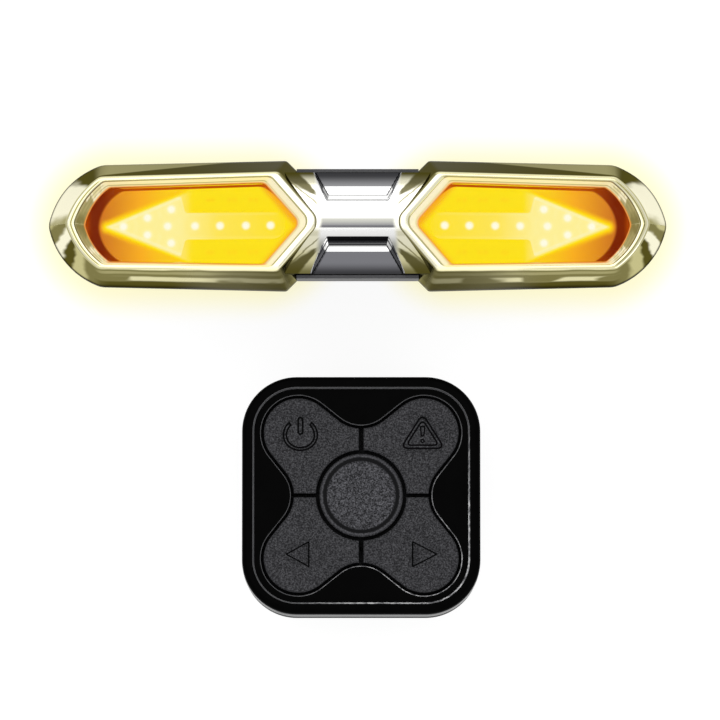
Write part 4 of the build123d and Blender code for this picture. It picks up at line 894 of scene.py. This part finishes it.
def arrow_shape(shape):
    """A wide head that steps back to a shaft with a round tail."""
    corners = [(ARROW_TAIL_X, -ARROW_SHAFT_HALF), (ARROW_NECK_X, -ARROW_SHAFT_HALF),
               (ARROW_BARB_X, -ARROW_BARB_Y), (ARROW_TIP_X, 0.0), (ARROW_BARB_X, ARROW_BARB_Y),
               (ARROW_NECK_X, ARROW_SHAFT_HALF), (ARROW_TAIL_X, ARROW_SHAFT_HALF)]
    ring = bmesh.ops.create_circle(shape, cap_ends=True, segments=len(corners), radius=1.0)["verts"]
    for vertex, corner in zip(ring, corners):
        vertex.co = (*corner, 0.0)
    for vertex, cut in zip(ring, ARROW_ROUNDS):
        bmesh.ops.bevel(shape, geom=[vertex], offset=cut, offset_type="OFFSET", segments=6, profile=0.5,
                        affect="VERTICES", material=-1)
    raised = bmesh.ops.extrude_face_region(shape, geom=shape.faces[:])["geom"]
    bmesh.ops.translate(shape, vec=(0.0, 0.0, ARROW_BOTTOM_DEPTH - ARROW_TOP_DEPTH),
                        verts=[v for v in raised if isinstance(v, bmesh.types.BMVert)])


def lamp_shapes(shape):
    """A low dome on the arrow over each lamp."""
    for x, y in [(x, 0.0) for x in LED_ROW] + list(LED_HEAD):
        dome = bmesh.ops.create_uvsphere(shape, u_segments=20, v_segments=10, radius=LED_RADIUS)["verts"]
        bmesh.ops.scale(shape, vec=(1.0, 1.0, LED_FLATNESS), verts=dome)
        bmesh.ops.translate(shape, vec=(x, y, 0.0), verts=dome)


def make_arrows():
    """An arrow and its lamps in each wing."""
    kinds = (("arrow", "arrow_guide", arrow_shape, ARROW_BOTTOM_DEPTH, "arrow_glow"),
             ("lamps", "leds", lamp_shapes, ARROW_TOP_DEPTH, "led_glow"))
    for word, side in (("right", 1.0), ("left", -1.0)):
        for ending, node, draw, depth, slot in kinds:
            shape = bmesh.new()
            draw(shape)
            lean_on_wing(shape, depth, side)
            made = piece(word + "_" + ending, shape, [finishes[slot]], word + "_" + node)
            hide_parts(word + "_" + node)


# Key symbols, cut as thin outlines

def outline_cut(shape, corners, cut=0.0, steps=4, width=KEY_GROOVE_WIDTH):
    """A prism over the outline of a shape: its corners rounded, its line one groove wide."""
    before = set(shape.faces)
    ring = bmesh.ops.create_circle(shape, cap_ends=True, segments=len(corners), radius=1.0)["verts"]
    for vertex, corner in zip(ring, corners):
        vertex.co = (*corner, 0.0)
    if cut:
        bmesh.ops.bevel(shape, geom=ring, offset=cut, offset_type="OFFSET", segments=steps, profile=0.5,
                        affect="VERTICES", material=-1)
    shape.normal_update()
    inside = [face for face in shape.faces if face not in before]
    border = bmesh.ops.inset_region(shape, faces=inside, thickness=width, use_boundary=True,
                                    use_even_offset=True)["faces"]
    bmesh.ops.delete(shape, geom=[face for face in inside if face not in border], context="FACES_ONLY")
    raised = bmesh.ops.extrude_face_region(shape, geom=border)["geom"]
    bmesh.ops.translate(shape, vec=(0.0, 0.0, CUTTER_HEIGHT),
                        verts=[v for v in raised if isinstance(v, bmesh.types.BMVert)])


def around(centre, radius, start, turn, count, squash=1.0):
    """Places on an arc, from a start angle over a turn, in degrees; its lower half can be squashed."""
    angles = [radians(start + turn * i / (count - 1)) for i in range(count)]
    return [(centre[0] + radius * cos(a), centre[1] + radius * sin(a) * (squash if sin(a) < 0 else 1.0))
            for a in angles]


def power_symbol(shape):
    """A ring with a gap at its top and an upright bar in the gap."""
    turn = 360.0 - POWER_GAP
    corners = []
    for radius, squash, side in zip(POWER_RADII, POWER_SQUASH, (1.0, -1.0)):
        start = 90.0 + side * POWER_GAP / 2
        corners += around(POWER_MIDDLE, radius, start, side * turn, POWER_ARC_POINTS, squash)
    outline_cut(shape, corners, width=BOLD_GROOVE_WIDTH)
    left, right = POWER_MIDDLE[0] - POWER_BAR_HALF, POWER_MIDDLE[0] + POWER_BAR_HALF
    top, bottom = POWER_BAR_LEVELS
    corners = [(left, top), (left, bottom), (right, bottom), (right, top)]
    outline_cut(shape, corners, POWER_BAR_ROUND, width=BOLD_GROOVE_WIDTH)


def hazard_symbol(shape):
    """A triangle drawn with two lines, with an exclamation mark in it."""
    for top, base, half, cut in HAZARD_TRIANGLES:
        corners = [(HAZARD_X, top), (HAZARD_X - half, base), (HAZARD_X + half, base)]
        outline_cut(shape, corners, cut, 6, BOLD_GROOVE_WIDTH)
    (wide, top), (narrow, bottom) = HAZARD_MARK
    corners = [(HAZARD_X - wide, top), (HAZARD_X - narrow, bottom), (HAZARD_X + narrow, bottom),
               (HAZARD_X + wide, top)]
    outline_cut(shape, corners, HAZARD_MARK_ROUND)
    outline_cut(shape, around((HAZARD_X, HAZARD_DOT_Y), HAZARD_DOT_RADIUS, 0.0, 330.0, 12))


def left_symbol(shape):
    outline_cut(shape, LEFT_TRIANGLE, TURN_ROUND)


def right_symbol(shape):
    outline_cut(shape, RIGHT_TRIANGLE, TURN_ROUND)


def cut_key(node_name, draw, groove):
    """A copy of a key with its symbol cut into the top."""
    cutter = bmesh.new()
    draw(cutter)
    place = Vector((remote_centre.x, remote_centre.y, key_top))
    bmesh.ops.translate(cutter, vec=place / MM - Vector((0.0, 0.0, KEY_GROOVE_DEPTH)), verts=cutter.verts)
    bmesh.ops.recalc_face_normals(cutter, faces=cutter.faces)
    blank = bmesh.new()
    blank.from_mesh(frame["nodes"][node_name].data)
    bmesh.ops.scale(blank, vec=(1 / MM, 1 / MM, 1 / MM), verts=blank.verts)
    bmesh.ops.remove_doubles(blank, verts=blank.verts, dist=MERGE_DISTANCE)
    bmesh.ops.recalc_face_normals(blank, faces=blank.faces)
    bodies = []
    for name, shape, material in (("blank", blank, finishes["key_rubber"]), ("cutter", cutter, groove)):
        mesh = bpy.data.meshes.new(name)
        shape.to_mesh(mesh)
        shape.free()
        mesh.materials.append(material)
        bodies.append(bpy.data.objects.new(name, mesh))
        bpy.context.scene.collection.objects.link(bodies[-1])
    carve = bodies[0].modifiers.new("symbol", "BOOLEAN")
    carve.operation = "DIFFERENCE"
    carve.solver = "MANIFOLD"
    carve.material_mode = "TRANSFER"
    carve.object = bodies[1]
    carved = bpy.data.meshes.new_from_object(bodies[0].evaluated_get(bpy.context.evaluated_depsgraph_get()))
    key = bmesh.new()
    key.from_mesh(carved)
    bmesh.ops.scale(key, vec=(MM, MM, MM), verts=key.verts)
    made = piece(node_name + "_cut", key, [finishes["key_rubber"], groove], node_name)
    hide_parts(node_name)
    for body in bodies:
        bpy.data.objects.remove(body)


# Black case with its two chamfered edges, which carry a painted highlight

def make_case():
    """The upper case with fine chamfers on the lip's inner edge and round the keys' opening; the chamfers
    carry a painted highlight.
    """
    shape = bmesh.new()
    shape.from_mesh(frame["nodes"]["remote_top_case"].data)
    bmesh.ops.remove_doubles(shape, verts=shape.verts, dist=MERGE_DISTANCE * MM)
    bmesh.ops.dissolve_limit(shape, angle_limit=radians(0.5), verts=shape.verts, edges=shape.edges)
    panel = key_top - KEYS_ABOVE_PANEL * MM
    highlight_edges = []
    for edge in shape.edges:
        levels = [vertex.co.z for vertex in edge.verts]
        upright = [face for face in edge.link_faces if abs(face.normal.z) < 0.1]
        flat = [face for face in edge.link_faces if face.normal.z > 0.9]
        if len(upright) == 1 and len(flat) == 1:
            on_lip = min(levels) > remote_centre.z - EDGE_LEVEL_SLACK * MM
            on_panel = max(abs(level - panel) for level in levels) < EDGE_LEVEL_SLACK * MM
            outward = upright[0].normal.dot(edge.verts[0].co - remote_centre) > 0
            if (on_lip or on_panel) and not outward:
                highlight_edges.append(edge)
    fresh = bmesh.ops.bevel(shape, geom=highlight_edges, offset=CHAMFER_WIDTH * MM, offset_type="OFFSET", segments=1,
                            profile=0.5, affect="EDGES", material=-1)
    # The chamfers' faces take the painted edge highlight
    for face in fresh["faces"]:
        face.material_index = 1
    made = piece("remote_lid", shape, [finishes["remote_gloss"], edge_highlight_finish()],
                 "remote_top_case")
    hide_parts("remote_top_case")


make_bezel()
make_arrows()
groove = groove_finish()
for key_name, draw in (("power_key", power_symbol), ("hazard_key", hazard_symbol),
                       ("left_key", left_symbol), ("right_key", right_symbol)):
    cut_key(key_name, draw, groove)
make_case()


# Floor, lights and camera

def floor_finish():
    """A white floor with a faint yellow spill of light painted round the two wings."""
    paint = Paint("studio_floor")
    spot = paint.parts(paint.place(paint.coordinates(), light_centre, (MM, MM, MM)))
    middle = (HALO_INNER_X + HALO_OUTER_X) / 2
    reach = paint.math("ABSOLUTE", paint.math("SUBTRACT", paint.math("ABSOLUTE", spot[0]), middle))
    beside = paint.math("MAXIMUM", paint.math("SUBTRACT", reach, (HALO_OUTER_X - HALO_INNER_X) / 2), 0.0)
    away = paint.length(beside, paint.math("SUBTRACT", spot[1], HALO_SHIFT))
    colour = paint.coats("FFFFFF", (paint.step(away, HALO_FAR, HALO_NEAR), HALO_TONE))
    path = paint.nodes.new("ShaderNodeLightPath").outputs
    seen = paint.math("MAXIMUM", path["Is Glossy Ray"], path["Is Transmission Ray"])
    seen = paint.math("MAXIMUM", path["Is Camera Ray"], seen)
    paint.set(Base_Color=paint.mix(FLOOR_DIMMING, colour, shade("000000")), Roughness=0.9,
              Specular_IOR_Level=0.0, Emission_Color=colour,
              Emission_Strength=paint.math("MULTIPLY", seen, FLOOR_GLOW))
    return paint.material


def make_floor():
    shape = bmesh.new()
    bmesh.ops.create_grid(shape, x_segments=1, y_segments=1, size=FLOOR_HALF)
    mesh = bpy.data.meshes.new("studio_floor")
    shape.to_mesh(mesh)
    shape.free()
    floor = bpy.data.objects.new("studio_floor", mesh)
    bpy.context.scene.collection.objects.link(floor)
    mesh.materials.append(floor_finish())


def make_light(name, place, size, power):
    """An area lamp aimed at the middle of the floor, in metres and watts."""
    lamp = bpy.data.lights.new(name, "AREA")
    lamp.shape = "RECTANGLE"
    lamp.size, lamp.size_y = size
    lamp.energy = power
    stand = bpy.data.objects.new(name, lamp)
    stand.location = place
    stand.rotation_euler = (-Vector(place)).to_track_quat("-Z", "Y").to_euler()
    bpy.context.scene.collection.objects.link(stand)


def make_camera():
    camera = bpy.data.cameras.new("camera")
    camera.sensor_width = SENSOR_WIDTH
    camera.lens = SENSOR_WIDTH * CAMERA_DISTANCE * PIXELS_PER_MM / PICTURE_PIXELS
    camera.clip_start = 0.01
    camera.clip_end = 100.0
    stand = bpy.data.objects.new("camera", camera)
    tilt = radians(CAMERA_ELEVATION)
    back = Vector((0.0, -cos(tilt), sin(tilt)))
    stand.location = (Vector(CAMERA_TARGET) + back * CAMERA_DISTANCE) * MM
    stand.rotation_euler = (-back).to_track_quat("-Z", "Y").to_euler()
    bpy.context.scene.collection.objects.link(stand)
    bpy.context.scene.camera = stand


def make_world():
    world = bpy.data.worlds.new("studio")
    world.use_nodes = True
    world.node_tree.nodes["Background"].inputs["Color"].default_value = (1.0, 1.0, 1.0, 1.0)
    world.node_tree.nodes["Background"].inputs["Strength"].default_value = WORLD_STRENGTH
    bpy.context.scene.world = world


make_floor()
make_light("soft_top", place=(-0.25, 0.45, 1.1), size=(1.1, 1.1), power=3.6)
make_light("soft_side", place=(0.7, -0.5, 0.7), size=(0.6, 0.6), power=1.2)
make_camera()
make_world()
bpy.context.scene.view_settings.view_transform = "Standard"
